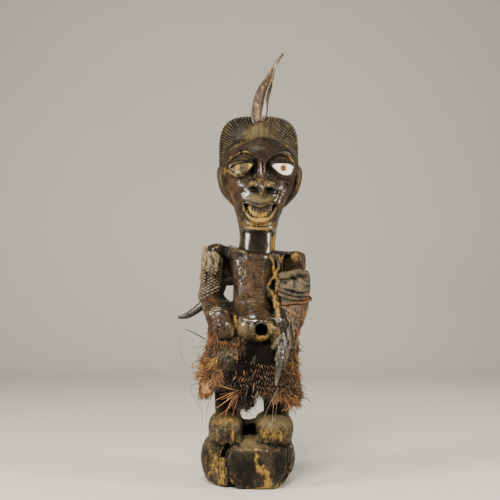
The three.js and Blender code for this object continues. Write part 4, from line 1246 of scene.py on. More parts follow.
def wood_finish(settings):
    """Glossy dark patina over reddish wood, with ochre, dust, soot and the hair's hatching."""
    m = Finish("patinated wood")
    ochre, dust, soot = m.painted("ochre"), m.painted("dust"), m.painted("soot")
    reddish, hatched, polish = m.painted("reddish"), m.painted("hatched"), m.painted("polish")
    grain = m.noise(900, 4, 0.6, (1, 1, 0.12), 0.4)
    drip = m.noise(230, 4, 0.6, (1, 1, 0.3), 0.6)
    cloud = m.noise(70, 5, 0.6)
    patch = m.noise(160, 6, 0.7, (1, 1, 0.6), 0.8)
    fine = m.noise(420, 4, 0.65)
    speck = m.noise(1400, 2, 0.6)
    dark = m.mix(cloud.rise(0.42, 0.66), settings.patina, settings.patina_light)
    warm = (reddish * cloud.rise(0.34, 0.58) + drip.rise(0.55, 0.8) * 0.3).clamp()
    m.colour = m.mix(warm, dark, settings.patina_red)
    # Tan mottling and paler flecks over the patina: partly dust, partly painted fine glints.
    m.over(patch.rise(0.5, 0.7) * 0.5, (0.105, 0.07, 0.032))
    m.over(fine.rise(0.61, 0.71) * 0.6, (0.24, 0.17, 0.09))
    dusty = (dust + (fine - 0.5) * 1.3 + (patch - 0.5) * 1.0).rise(0.25, 0.95)
    m.over(dusty * 0.85, settings.dust)
    earth = m.mix((drip + ochre * 0.25).rise(0.5, 0.78), settings.ochre_dark, settings.ochre)
    pale = m.mix((speck + ochre * 0.2).rise(0.68, 0.95), earth, settings.ochre_pale)
    chalky = (ochre + (patch - 0.5) * 1.5 + (drip - 0.5) * 0.9 + (fine - 0.5) * 0.5).rise(0.38, 0.76)
    m.over(chalky * 0.9, pale)
    # The painted shade and darkening, laid on in near black and made matt.
    black = (soot * 1.2 - chalky * 0.3 + (fine - 0.5) * 0.4).clamp()
    m.over(black, SHADE_BLACK)
    place = m.node("ShaderNodeSeparateXYZ", Vector=m.coords())
    away = place - HEAD_X * MM
    rise = Wire(place.socket.node.outputs["Z"]) - (BASE_HEIGHT + RAYS_LEVEL) * MM
    rays = (rise.angle(away) * HAIR_RAYS + fine * 0.8).wave().size()
    rings = ((rise * rise + away * away) ** 0.5 * 800 + fine * 2).wave().size()
    lines = rays.rise(0.9, 1.0).either(rings.rise(0.88, 1.0) * away.rise(0.0, 0.03))
    lines = lines * (0.1 + patch.rise(0.44, 0.6))
    # The hair: a dark ground with pale lines on the ridges of its rays and rings, which are painted
    # highlights.
    ground = m.mix(cloud.rise(0.5, 0.64), (0.004, 0.003, 0.002), (0.035, 0.027, 0.013))
    ray_highlight = m.mix(lines.clamp(), ground, (0.27, 0.21, 0.115))
    m.over(hatched * (1 - dusty * 0.25), ray_highlight)
    matt = (chalky + dusty * 0.6 + black * 0.9).clamp()
    shine = (polish - 0.06 + (fine - 0.5) * 0.9).clamp() * (1 - matt)
    rough = 0.5 + fine * 0.2 + matt * 0.3 - shine * 0.38
    height = fine * 0.6 + grain * 0.3 + speck * 0.25 + chalky * 0.5 + drip * 0.4
    normal = m.bump(height + lines * hatched * 1.2, 0.6 - shine * 0.42, 0.0013)
    normal = m.bump(patch, 0.5 - shine * 0.4, 0.004, normal)
    return m.set(
        Base_Color=m.colour,
        Roughness=rough.clamp(),
        Normal=normal,
        Coat_Weight=(shine + (1 - matt) * 0.06).clamp(),
        Coat_Roughness=0.21,
        Coat_IOR=1.75,
        Specular_IOR_Level=0.17,
    )


# Horns.

# The crest horn's path and section, drawn for a horn 151 high: x, y, z, width, thickness, twist.
CREST_PATH = [
    (0, 0, 0, 0.3, 0.62, 0.1), (-1, 2, 22, 0.42, 0.7, 0.15), (-3, 4, 47, 0.48, 0.62, 0.2),
    (2, 6, 76, 0.47, 0.5, 0.3), (11, 7, 100, 0.34, 0.42, 0.5), (19, 8, 121, 0.22, 0.32, 0.9),
    (27, 8, 137, 0.16, 0.26, 1.2), (36, 8, 149, 0.11, 0.18, 1.4),
]
CREST_REACH, CREST_WIDTH, CREST_THICKNESS = 156 / 151, 32, 15

# Flat faces of the crest horn: bearing round the horn in degrees and distance from its middle.
CREST_FACES = [(-122, 0.66), (-52, 0.74), (5, 0.86), (70, 0.74), (125, 0.74), (180, 0.9)]
CREST_COLOURS = (0.016, 0.007, 0.0035), (0.1, 0.052, 0.02), (0.37, 0.28, 0.12)

# The two small horns. The path is x, y, z and radius, and the colours are dark, light and chalk.
SmallHorn = namedtuple("SmallHorn", "node finish foot path reach thickness rings colours duller")
SMALL_HORNS = (
    SmallHorn(
        node="elbow_horn",
        finish="dark horn",
        foot=(-69, -4, 229),
        path=[(0, 0, 0, 0.5), (-17, -1, -14, 0.42), (-33, -3, -24, 0.32), (-48, -6, -27, 0.15)],
        reach=59 / 58,
        thickness=16,
        rings=9,
        colours=((0.005, 0.004, 0.003), (0.022, 0.018, 0.013), (0.075, 0.062, 0.045)),
        duller=0.08,
    ),
    SmallHorn(
        node="hip_horn",
        finish="grey horn",
        foot=(54, -72, 158),
        path=[(0, 0, 0, 0.4), (-2, -3, -18, 0.45), (-6, -5, -40, 0.34), (-9, -4, -62, 0.1)],
        reach=64 / 63,
        thickness=15,
        rings=6,
        # The hip horn's pale chalk colour stands partly for its silver glint, a painted highlight.
        colours=((0.010, 0.008, 0.005), (0.04, 0.034, 0.024), (0.15, 0.14, 0.115)),
        duller=0.0,
    ),
)


def crest_rows(extra=0.0):
    """Rows [x, y, z, half width, half thickness, twist] up the crest horn."""
    rows = []
    for *place, wide, thick, twist in CREST_PATH:
        centre = (f + p * CREST_REACH for f, p in zip(CREST_FOOT, place))
        rows.append((*centre, wide * CREST_WIDTH + extra, thick * CREST_THICKNESS + extra, twist))
    return spline(rows, 30)


def tube(name, rows, section, around, along):
    """A closed horn: rows of [x, y, z, half width, half depth, twist] and a section's relief."""
    rows = spline(rows, along)
    heading = unit(np.gradient(rows[:, :3], axis=0))
    across = unit(np.cross([0, 1, 0], heading))
    deep = np.cross(heading, across)
    twist = rows[:, 5][:, None]
    side = across * np.cos(twist) + deep * np.sin(twist)
    up = deep * np.cos(twist) - across * np.sin(twist)
    angle = np.linspace(0, 2 * math.pi, around, endpoint=False)
    a, b = section(angle[None, :], np.linspace(0, 1, along)[:, None])
    a, b = a * rows[:, 3:4], b * rows[:, 4:5]
    ring = rows[:, None, :3] + a[:, :, None] * side[:, None] + b[:, :, None] * up[:, None]
    points = np.vstack([ring.reshape(-1, 3), rows[0, :3], rows[-1, :3]])
    i, j = np.meshgrid(np.arange(along - 1), np.arange(around), indexing="ij")
    k = (j + 1) % around
    quads = np.stack([i * around + j, i * around + k, (i + 1) * around + k, (i + 1) * around + j], -1)
    quads = quads.reshape(-1, 4)
    j = np.arange(around)
    k = (j + 1) % around
    foot, tip = len(points) - 2, len(points) - 1
    last = (along - 1) * around
    caps = np.r_[np.c_[np.full(around, foot), k, j], np.c_[np.full(around, tip), last + j, last + k]]
    return make_object(name, points, np.vstack([quads[:, [0, 1, 2]], quads[:, [0, 2, 3]], caps]))


def crest_section(angle, along):
    """A keeled section: a broad flat face at the left and a narrower one at the right."""
    total = 0
    for bearing, distance in CREST_FACES:
        facing = np.maximum(np.cos(angle - math.radians(bearing)), 0) / distance
        total += facing**9
    reach = total ** (-1 / 9) * (1 + 0.03 * np.sin(along * 26 + 3 * np.sin(angle)) * (along < 0.75))
    return np.cos(angle) * reach, np.sin(angle) * reach


def ringed_section(rings):
    """A round section with growth rings that fade to the tip, and shallow flutes."""

    def section(angle, along):
        ring = 1 + 0.05 * np.sin(rings * 2 * math.pi * along) * (1 - along)
        flute = 1 + 0.03 * np.sin(7 * angle + 2 * along)
        return np.cos(angle) * ring * flute, np.sin(angle) * ring * flute

    return section


def horn_finish(name, colours, rough):
    """Mottled horn with chalky patches and a dark keel."""
    dark, light, chalky = colours
    m = Finish(name)
    mottle = m.noise(75, 5, 0.65, (1, 1, 0.6), 1.0)
    streak = m.noise(420, 4, 0.65, (1, 1, 0.25), 1.2)
    speck = m.noise(1300, 2, 0.5)
    m.colour = m.mix(mottle.rise(0.42, 0.58), dark, light)
    chalk = (mottle.rise(0.55, 0.68) * streak.rise(0.36, 0.52)).clamp()
    m.over(chalk, chalky)
    m.over(streak.rise(0.6, 0.8) * 0.4, dark)
    m.over(m.painted("keel"), (0.008, 0.005, 0.003))
    normal = m.bump(streak * 0.3 + speck * 0.2 + mottle, 0.5, 0.002)
    return m.set(
        Base_Color=m.colour,
        Roughness=(rough + streak * 0.15 + chalk * 0.25).clamp(),
        Normal=normal,
        Coat_Weight=0.42,
        Coat_Roughness=0.18,
        Coat_IOR=1.8,
        Specular_IOR_Level=0.3,
    )


def make_horns(settings):
    rows = crest_rows()
    crest = tube("crest_horn_piece", rows, crest_section, 72, 200)
    points = points_of(crest)
    x, y, z = points.T
    middle, half = (np.interp(z, rows[:, 2], rows[:, k]) for k in (0, 3))
    across = (x - middle) / half + 0.12 * Lumps(36, 9)(points)
    left = smooth(-0.62, -0.78, across)
    keel = np.exp(-(((across - 0.1) / 0.12) ** 2)) * smooth(620, 600, z)
    paint(crest, keel=(0.9 * left + 0.8 * keel) * smooth(0, -3, y + 20))
    finish_piece(crest, horn_finish("crest horn", CREST_COLOURS, 0.36), ["crest_horn"])
    for horn in SMALL_HORNS:
        rows = []
        for *place, radius in horn.path:
            centre = (f + p * horn.reach for f, p in zip(horn.foot, place))
            rows.append((*centre, radius * horn.thickness, radius * horn.thickness, 0))
        obj = tube(horn.node + "_piece", rows, ringed_section(horn.rings), 32, 90)
        finish = horn_finish(horn.finish, horn.colours, settings.gloss + horn.duller)
        finish_piece(obj, finish, [horn.node])


# Shell eyes.


def shell_plate(side):
    """A shell with the shape of its eye, drilled for the pupil."""
    clay = Clay((EYE_X[side] - 24, -70, 428), (EYE_X[side] + 24, -46, 462), 0.45)
    clay.join(almond_form(side, 0.0, -2.0, 2.0), blend=0.5)
    x, z, r = PUPIL_X[side], PUPIL_LEVEL, PUPIL_RADIUS
    clay.cut(limb([(x, -75, z, r), (x, PUPIL_BOTTOM[side] - r, z, r)], 1), blend=0.7)
    return clay


# The worn shell's dirty lower edge: across and height.
CRUST_EDGE = [-29, -22, -10, 0, 9], [452, 445, 440, 440, 451]


def make_eyes(settings):
    def clean(points):
        return 0.12 * Lumps(31, 4)(points)

    def worn(points):
        pits = Lumps(32, 2.2)(points)
        crust = smooth(-10, -22, points[:, 0]) + 0.3
        return 0.3 * Lumps(33, 5)(points) - 1.2 * crust * smooth(0.25, 0.6, pits)

    shells = {}
    for side, relief in (("right", clean), ("left", worn)):
        obj = skin_object(side + "_shell", shell_plate(side), relief, SHELL_TRIANGLES[side])
        points = points_of(obj)
        away = np.hypot(points[:, 0] - PUPIL_X[side], (points[:, 2] - PUPIL_LEVEL) * 0.85)
        paint(obj, pupil=smooth(5.0, 4.0, away), ring=smooth(8.5, 5.5, away))
        shells[side] = obj
    x, _, z = points.T
    stray = 2 * Lumps(34, 4)(points)
    paint(
        shells["left"],
        crust=smooth(1.5, -1.5, z + stray - np.interp(x, *CRUST_EDGE)),
        yellow=smooth(0.4, 0.9, np.exp(-(((x - 3) / 5) ** 2)) + np.exp(-(((x + 18) / 5) ** 2))),
        lid=smooth(453, 456, z - 0.12 * (x + 10) + stray),
    )
    finish_piece(shells["right"], clean_shell_finish(settings), ["right_eye_shell"])
    finish_piece(shells["left"], worn_shell_finish(), ["left_eye_shell"])


def clean_shell_finish(settings):
    m = Finish("clean shell")
    cloud = m.noise(160, 4)
    stain = m.noise(60, 5, 0.6)
    m.colour = m.mix(cloud.rise(0.4, 0.65), (0.82, 0.79, 0.7), settings.shell)
    m.over(m.painted("ring") * 0.7, (0.75, 0.56, 0.28))
    m.over(stain.rise(0.6, 0.74) * 0.7, (0.45, 0.33, 0.16))
    m.over(m.painted("pupil"), settings.pupil)
    return m.set(Base_Color=m.colour, Roughness=0.28, Coat_Weight=0.4)


def worn_shell_finish():
    m = Finish("worn shell")
    cloud = m.noise(150, 5, 0.65)
    fleck = m.noise(420, 4, 0.7)
    olive = m.mix(cloud.rise(0.4, 0.6), (0.022, 0.019, 0.007), (0.07, 0.058, 0.02))
    yellow = m.mix(cloud.rise(0.45, 0.66), (0.26, 0.14, 0.02), (0.62, 0.43, 0.11))
    m.colour = m.mix(m.painted("yellow"), olive, yellow)
    m.over(m.painted("lid") * 0.7, (0.14, 0.085, 0.045))
    crust = m.mix(fleck.rise(0.47, 0.57), (0.02, 0.012, 0.006), (0.62, 0.5, 0.32))
    m.over(m.painted("crust"), crust)
    normal = m.bump(cloud + fleck * 0.5, 0.8, 0.002)
    return m.set(Base_Color=m.colour, Roughness=0.5, Normal=normal, Specular_IOR_Level=0.3)


# Hide and cord round the upper arm.

# The hide's thickness on the arm, and the lines of its folds: across, height and radius.
SLEEVE_WALL = 4.2
SLEEVE_FOLDS = [
    [(-66, 312, 1.6), (-62, 296, 2), (-66, 278, 1.6)],
    [(-60, 314, 1.4), (-55, 300, 1.8), (-52, 282, 1.6)],
    [(-80, 300, 1.2), (-79, 284, 1.6), (-81, 268, 1.2)],
]
# The net of cords has this much turn for a millimetre up, and this many waves in a turn round.
NET_UP, NET_ROUND = 0.62, 5


def cords_at(points):
    """The net of cords round the sleeve: 0 between two cords and 1 on top of one."""
    x, y, z = points.T
    turn = np.arctan2(y - 6, x + 63)
    stray = 0.5 * Lumps(43, 9)(points)
    one = np.abs(np.sin(NET_UP * z + NET_ROUND * turn + stray))
    other = np.abs(np.sin(NET_UP * z - NET_ROUND * turn + 0.8 - stray))
    return np.minimum(one, other)


def make_binding(settings):
    rows = [(x - 1, y - 1, z - 3, r + SLEEVE_WALL) for x, y, z, r in LEFT_ARM[:3]]
    x, y, z, r = LEFT_ARM[3]
    rows.append((x - 1, y - 1, z + 6, r + SLEEVE_WALL - 1))
    clay = Clay((-98, -34, 214), (-34, 42, 326), 0.7)
    clay.join(limb(rows, 12), blend=1)
    clay.cut(slab((-62, 6, 332), (40, 40, 20), (0, 0.12, 0), 0.5), blend=2)
    clay.join(limb([(-73, -8, 318, 4.6), (-74, -8, 290, 5), (-74, -6, 262, 5)]), blend=1)
    clay.cut(limb([(-73, -8, 330, 2.6), (-73.5, -8, 304, 2.2)], 1), blend=0.6)
    clay.join(egg((-55, -8, 302), (8, 9, 12), turn=(0, -0.3, 0)), blend=3)
    clay.join(egg((-60, -12, 284), (11, 6, 10), turn=(0, 0.3, 0)), blend=3)
    strap = [(-85, 2, 239, 1.3), (-76, -15, 240, 1.5), (-62, -19, 247, 1.5), (-50, -8, 252, 1.3)]
    clay.join(limb(strap), limb([(x, y, z - 6, r) for x, y, z, r in strap]), blend=0.6)
    clay.raise_lines(SLEEVE_FOLDS, blend=1.2)

    def relief(points):
        z = points[:, 2]
        bound = smooth(290, 280, z) * smooth(230, 236, z)
        rough = Lumps(41, 5, (1, 1, 3))(points) + 0.6 * Lumps(42, 2, (1, 1, 2))(points)
        return bound * (2.6 * cords_at(points) - 0.9) + (1 - bound) * 1.1 * rough + 0.5 * rough

    obj = skin_object("bound_sleeve", clay, relief, SLEEVE_TRIANGLES)
    points = points_of(obj)
    z = points[:, 2]
    paint(
        obj,
        cords=cords_at(points) * smooth(290, 280, z),
        bound=smooth(292, 278, z + 5 * Lumps(44, 8)(points)),
        # Painted shade in the hollows of the hide.
        pit=smooth(0.0, -0.6, clay.bulge(points, 3.0)),
    )
    finish_piece(obj, binding_finish(settings), ["arm_binding"])


def binding_finish(settings):
    """Pale hide at the top, and cords over dark hide where it is bound."""
    m = Finish("bound hide")
    cords, bound = m.painted("cords"), m.painted("bound")
    streak = m.noise(500, 4, 0.6, (1, 1, 0.2), 0.5)
    cloud = m.noise(130, 5, 0.6)
    hide = m.mix(streak.rise(0.36, 0.56), settings.hide_mid, settings.hide_pale)
    cord = m.mix(cords.rise(0.12, 0.5), (0.010, 0.007, 0.004), (0.14, 0.102, 0.061))
    cord = m.mix(streak.rise(0.52, 0.7) * cords.rise(0.3, 0.6), cord, (0.31, 0.245, 0.16))
    m.colour = m.mix(bound, hide, cord)
    m.over(cloud.rise(0.54, 0.68) * 0.6, settings.hide_dark)
    # Near black in the hollows: painted shade.
    m.over((m.painted("pit") * 1.2).clamp(), HOLLOW_SHADE_BLACK)
    normal = m.bump(streak + cloud, 0.7, 0.0015)
    return m.set(Base_Color=m.colour, Roughness=0.62, Normal=normal)


# Hide gathered round the forearm, and its cord.

# Level sections of the hide: [x, y, z, half width, half depth].
BUNDLE = [
    (68, -34, 150, 11, 12), (70, -32, 170, 13.5, 20), (73.5, -24, 196, 18.5, 28),
    (76, -16, 219, 24.5, 32), (76, -12, 231, 26, 32), (76.5, -10, 250, 28.5, 34), (77, -7, 267, 28, 30),
    (79, -4, 279, 24, 25),
]
CORD_LEVEL, CORD_AT, CORD_HALF, CORD_TWIST = 229.0, (76.5, -12), (29.2, 34.7), 7.5
HIP_FOLDS = [
    [(64, -44, 178, 7), (57, -60, 162, 7), (50, -74, 146, 6), (46, -79, 136, 3)],
    [(70, -40, 172, 6), (63, -60, 156, 6), (59, -72, 140, 5), (57, -76, 126, 2.5)],
    [(56, -46, 182, 5), (49, -62, 168, 5), (42, -70, 156, 4)],
]
# Lines on the front of the hide, raised and scored: across, height and radius.
BUNDLE_FOLDS = [
    [(50, 262, 2), (54, 268, 2.6), (64, 270, 2.4), (72, 264, 2)],
    [(55, 254, 2.4), (66, 252, 3), (78, 249, 3.4), (90, 247, 3.4), (100, 250, 2.6)],
    [(48, 251, 2.6), (62, 245, 3.4), (80, 239, 3.6), (99, 241, 3)],
    [(48, 243, 2.4), (60, 237.5, 2.8), (80, 233.5, 2.8), (99, 234, 2.4)],
    [(74, 276, 2), (82, 268, 2.6), (94, 260, 2.6), (102, 258, 2)],
    [(55, 222, 2.4), (66, 216, 3), (80, 206, 3.2), (90, 196, 2.6)],
    [(54, 214, 2.4), (64, 204, 3), (76, 190, 3), (82, 176, 2.4)],
    [(60, 206, 2), (63, 190, 3), (67, 170, 2.8), (70, 153, 2.4)],
    [(54, 202, 2.4), (56, 184, 3), (60, 160, 2.6)],
    [(98, 222, 2.6), (94, 208, 3.4), (88, 192, 3.2), (81, 172, 2.6), (78, 154, 2.2)],
    [(72, 200, 1.8), (74, 182, 2.4), (74, 162, 2)],
]
BUNDLE_CREASES = [
    [(50, 247, 0.8), (64, 241, 1.4), (82, 236, 1.4), (98, 237, 0.8)],
    [(58, 249, 0.8), (76, 244, 1.6), (92, 243, 1.2)],
    [(58, 211, 0.8), (70, 199, 1.6), (82, 188, 1.2)],
    [(58, 196, 0.8), (61, 178, 1.6), (66, 160, 1)],
    [(70, 196, 0.8), (72, 178, 1.6), (76, 158, 1)],
    [(88, 216, 0.8), (86, 204, 1.4), (82, 192, 0.8)],
]
# Spots on the front of the hide: [x, z, half width, half height, strength].
HIDE_PALE = [(62, 262, 12, 8, 0.6), (58, 186, 8, 34, 0.9), (92, 262, 8, 10, 0.4), (60, 204, 14, 12, 0.6)]
HIDE_BLUE = [(61, 184, 5, 12, 1.0), (60, 160, 5, 8, 0.7)]
HIDE_RUST = [
    (94, 200, 5, 26, 1), (82, 168, 5, 24, 1), (99, 236, 6, 5, 0.8),
    (48, 244, 4, 10, 0.6), (62, 224, 12, 4, 0.6), (76, 208, 14, 20, 0.4),
]


def make_bundle(settings):
    clay = Clay((34, -86, 120), (116, 36, 290), 0.8)
    clay.join(column(BUNDLE, power=2.3, ends=6), blend=1)
    clay.cut(slab((112, -20, 190), (14, 60, 36), (0, 0.42, 0), 4), blend=6)
    for fold in HIP_FOLDS:
        clay.join(limb(fold), blend=2.5)
    clay.join(limb([(54, -36, 272, 4), (66, -42, 274, 5), (82, -40, 277, 5), (98, -26, 276, 4)]), blend=4)
    clay.cut(egg((60, -42, 262), (6.5, 9, 4.2), turn=(0, 0.35, 0)), blend=1.6)
    clay.raise_lines(BUNDLE_FOLDS, blend=2.4)
    clay.score_lines(BUNDLE_CREASES, blend=2)
    groove = cord_loop(0.4)
    clay.cut(limb(np.c_[groove, np.full(len(groove), 2.9)], 48), blend=2.5)

    def relief(points):
        x, y, z = points.T
        turn = np.arctan2(y - CORD_AT[1], x - 77)
        gather = np.exp(-(((z - CORD_LEVEL) / 18) ** 2)) * smooth(-20, 0, y)
        pleat = np.sin(17 * turn + 1.6 * Lumps(51, 14)(points))
        fur = lumps(points, (1, 52, 2.2, (1, 1, 3)), (0.8, 53, 5.5, (1, 1, 1.6)))
        lower = smooth(228, 216, z)
        strand = np.sin(1.3 * x + 0.5 * (CORD_LEVEL - z) + 4.5 * Lumps(55, 8)(points))
        return 0.9 * gather * pleat + 0.75 * fur + 0.5 * lower * strand

    obj = skin_object("tied_hide", clay, relief, BUNDLE_TRIANGLES)
    points = points_of(obj)
    noise = Lumps(54, 8)(points)
    paint(
        obj,
        pale=blobs(points, HIDE_PALE, noise),
        blue=blobs(points, HIDE_BLUE, noise),
        rust=blobs(points, HIDE_RUST, noise),
        # Painted shade in the hollows of the hide.
        pit=smooth(0.05, -0.55, clay.bulge(points, 3.0)),
    )
    finish_piece(obj, hide_finish(settings), ["hide_bundle"])
    make_cord(settings)


def hide_finish(settings):
    """Streaked hide, pale, rusty and bluish where it is painted so."""
    m = Finish("dried hide")
    streak = m.noise(420, 5, 0.65, (1, 1, 0.3), 0.8)
    cloud = m.noise(85, 5, 0.6)
    fine = m.noise(900, 3, 0.6)
    m.colour = m.mix(cloud.rise(0.35, 0.65), settings.hide_dark, settings.hide_mid)
    bright = streak.rise(0.5, 0.7) * 0.8 * cloud.rise(0.3, 0.6) + m.painted("pale") * streak.rise(0.35, 0.6)
    m.over(bright.clamp(), settings.hide_pale)
    m.over(m.painted("rust") * streak.rise(0.3, 0.55), (0.2, 0.085, 0.024))
    m.over(m.painted("blue") * streak.rise(0.35, 0.6), (0.16, 0.175, 0.24))
    # Near black in the hollows: painted shade.
    m.over((m.painted("pit") * 1.2).clamp(), HOLLOW_SHADE_BLACK)
    normal = m.bump(streak + fine * 0.5, 0.8, 0.0018)
    return m.set(Base_Color=m.colour, Roughness=(0.42 + fine * 0.4).clamp(), Normal=normal)


def cord_loop(extra=0.0, count=120):
    """The path of the cord round the hide."""
    angle = np.linspace(0, 2 * math.pi, count, endpoint=False)
    a, b = squared(np.cos(angle)), squared(np.sin(angle))
    x = CORD_AT[0] + a * (CORD_HALF[0] + extra)
    y = CORD_AT[1] + b * (CORD_HALF[1] + extra)
    z = CORD_LEVEL + 4 * a + 3 * b + 0.9 * np.sin(3 * angle + 1) + 0.5 * np.sin(7 * angle)
    return np.stack([x, y, z], 1)


def make_cord(settings):
    """Three strands twisted round the loop."""
    loop = cord_loop(0.0, 400)
    loop = np.vstack([loop, loop[:1]])
    step = np.linalg.norm(np.diff(loop, axis=0), axis=1)
    run = np.r_[0, np.cumsum(step)]
    heading = unit(np.gradient(loop, axis=0))
    across = unit(np.cross(heading, [0, 0, 1]))
    up = np.cross(across, heading)
    turns = round(run[-1] / CORD_TWIST)
    paths = []
    for k in range(3):
        phase = 2 * math.pi * (k / 3 + turns * run / run[-1])
        place = loop + (across * np.cos(phase)[:, None] + up * np.sin(phase)[:, None])
        place = place + 0.8 * np.stack([Lumps(57 + k, 6)(place) for _ in range(3)], 1)
        paths.append((np.c_[place, 1.3 + 0.4 * Lumps(56, 5)(place)], 0.4 + 0.2 * k))
    finish = cord_finish(settings)
    finish_piece(strands("twisted_cord", paths, finish, 8), finish, ["bundle_cord"])


def cord_finish(settings):
    m = Finish("plant cord")
    fine = m.noise(1500, 3, 0.6)
    m.colour = m.mix(fine.rise(0.42, 0.64), (0.03, 0.014, 0.007), settings.cord)
    m.over(m.noise(160, 4, 0.6).rise(0.5, 0.66) * 0.7, (0.04, 0.022, 0.012))
    return m.set(Base_Color=m.colour, Roughness=0.75, Normal=m.bump(fine, 0.5, 0.0008))


# Fibre skirt.

# Level sections [x, y, z, half width, half depth], hem first.
SKIRT = [
    (6, -2, 62, 84, 66), (4, -2, 80, 85, 67), (2, -3, 104, 83, 66), (4, -4, 132, 77, 64),
    (9, -5, 156, 76, 62), (9, -6, 172, 64, 55),
]
WAIST = 172
# Near black that darkens each fibre towards its root: painted shade.
ROOT_SHADE = (0.01, 0.006, 0.004)


def skirt_hem(bearing):
    """Height of the hem at a bearing: 0 in front, positive towards +X."""
    hem = 76 + 17 * smooth(-0.84, -0.74, bearing) * smooth(-0.26, -0.34, bearing)
    hem = hem - 18 * smooth(-0.36, -0.28, bearing) * smooth(0.09, 0.02, bearing)
    hem = hem - 11 * np.exp(-(((bearing - 0.95) / 0.38) ** 2))
    hem = hem + 4 * np.sin(bearing * 6 + 1) * smooth(1.1, 1.5, np.abs(bearing))
    return hem + 2.2 * np.sin(bearing * 13) + 1.6 * np.sin(bearing * 47 + 1)


def skirt_point(bearing, share, out=0.0):
    """A place on the skirt: share 0 at the waist and 1 at the hem."""
    bearing, share = np.broadcast_arrays(bearing, share)
    rows = spline(SKIRT, 60)
    z = WAIST + (skirt_hem(bearing) - WAIST) * share
    cx, cy, a, b = (np.interp(z, rows[:, 2], rows[:, k]) for k in (0, 1, 3, 4))
    u, v = squared(np.sin(bearing)), squared(-np.cos(bearing))
    hollow = 9 * np.exp(-(((bearing - 0.06) / 0.24) ** 2)) * smooth(100, 122, z)
    reach = out - 3.0 - hollow
    tuck = 18 * smooth(148, WAIST, z) * smooth(1.7, 2.3, np.abs(bearing))
    return np.stack([cx + u * (a + reach - tuck), cy + v * (b + reach - 0.2 * tuck), z], -1)


def skirt_out(bearing):
    """The direction away from the skirt at a bearing."""
    return np.stack([np.sin(bearing), -np.cos(bearing), 0 * bearing], -1)


# Spots on the cloth, seen from the front: [x, z, half width, half height, strength].
CLOTH_GREEN = [(-52, 158, 24, 20, 1.0), (-34, 140, 18, 16, 0.8)]
CLOTH_WARM = [(-68, 86, 18, 18, 1.3), (-60, 110, 24, 18, 0.4)]
CLOTH_SHADE = [
    (16, 136, 38, 34, 1.5), (16, 112, 26, 16, 0.8), (-8, 74, 20, 24, 1.2),
    (-26, 106, 16, 14, 1), (4, 96, 40, 12, 0.6),
]


def make_cloth():
    """The matted cloth, 2.4 thick, open at the waist and the hem."""
    around, along = 300, 70
    bearing = np.linspace(-math.pi, math.pi, around, endpoint=False)[:, None]
    share = np.linspace(0, 1, along)[None, :]
    outer = skirt_point(bearing, share, 1.0)
    flat = outer.reshape(-1, 3)
    lump = lumps(flat, (3.0, 61, 13), (1.6, 62, 4))
    away = skirt_out(np.broadcast_to(bearing, (around, along))).reshape(-1, 3)
    outer = flat + away * np.minimum(lump, 2.0)[:, None]
    inner = outer - away * 2.4
    count = around * along
    i, j = np.meshgrid(np.arange(around), np.arange(along - 1), indexing="ij")
    k = (i + 1) % around
    front = np.stack([i * along + j, i * along + j + 1, k * along + j + 1, k * along + j], -1)
    front = front.reshape(-1, 4)
    back = front[:, ::-1] + count
    i = np.arange(around)
    k = (i + 1) % around
    top = np.c_[i * along, k * along, k * along + count, i * along + count]
    last = along - 1
    hem = np.c_[i * along + last, i * along + last + count, k * along + last + count, k * along + last]
    obj = make_object("skirt_cloth", np.vstack([outer, inner]), np.vstack([front, back, top, hem]))
    points = points_of(obj)
    noise = Lumps(63, 8)(points)
    front = smooth(10, -10, points[:, 1])
    paint(
        obj,
        green=front * blobs(points, CLOTH_GREEN, noise),
        shade=front * blobs(points, CLOTH_SHADE, noise),
        warm=front * blobs(points, CLOTH_WARM, noise, 0.15),
    )
    return finish_piece(obj, cloth_finish(), ["fibre_skirt"])


def cloth_finish():
    """Dark raffia, greenish, pale or shaded where it is painted so."""
    m = Finish("matted raffia")
    weave = m.noise(620, 4, 0.65, (1, 1, 0.35), 1.0)
    cloud = m.noise(90, 5, 0.6)
    m.colour = m.mix(cloud.rise(0.35, 0.65), (0.01, 0.006, 0.004), (0.04, 0.022, 0.012))
    m.over(weave.rise(0.5, 0.7) * 0.6, (0.11, 0.065, 0.035))
    m.over(m.painted("green") * weave.rise(0.3, 0.6), (0.15, 0.135, 0.09))
    m.over(m.painted("warm") * weave.rise(0.2, 0.5), (0.52, 0.29, 0.13))
    m.over((m.painted("shade") * 1.1).clamp(), (0.004, 0.003, 0.002))
    normal = m.bump(weave + cloud, 0.9, 0.002)
    return m.set(Base_Color=m.colour, Roughness=0.85, Normal=normal, Specular_IOR_Level=0.12)


def fibre_finish(settings):
    """Raffia from black through rust, orange and straw to grey, by each strand's tint."""
    m = Finish("raffia fibre")
    tint, along = m.painted("tint"), m.painted("along")
    fine = m.noise(600, 3, 0.6)
    stops = [
        (0, (0.006, 0.004, 0.003)),
        (0.22, (0.05, 0.026, 0.014)),
        (0.42, settings.rust),
        (0.6, settings.orange),
        (0.74, settings.straw),
        (0.84, (0.09, 0.072, 0.05)),
        (1, settings.grey),
    ]
    m.colour = m.node("ShaderNodeValToRGB", {"stops": stops}, Fac=tint)
    m.over(fine.rise(0.45, 0.75) * 0.4, (0.03, 0.016, 0.009))
    # Darker towards the root of each fibre: painted shade.
    root = 1 - along.rise(0.0, 0.5)
    m.over(root * 0.75, ROOT_SHADE)
    return m.set(Base_Color=m.colour, Roughness=0.6)


def curl(random, start, away, length, drop, bend, count, radius):
    """One fibre that leaves start along away and curls and sags as it goes."""
    steps = np.linspace(0, 1, count)[:, None]
    side = random.normal(size=3) * bend
    kink = random.normal(size=3) * bend * 0.6
    place = start + away * length * steps + side * length * steps**2
    place = place + kink * length * 0.5 * np.sin(steps * 5.0)
    place = place + np.array([0, 0, -1.0]) * drop * length * steps**1.6
    thick = radius * (1 - 0.45 * steps)
    return np.hstack([place, thick])


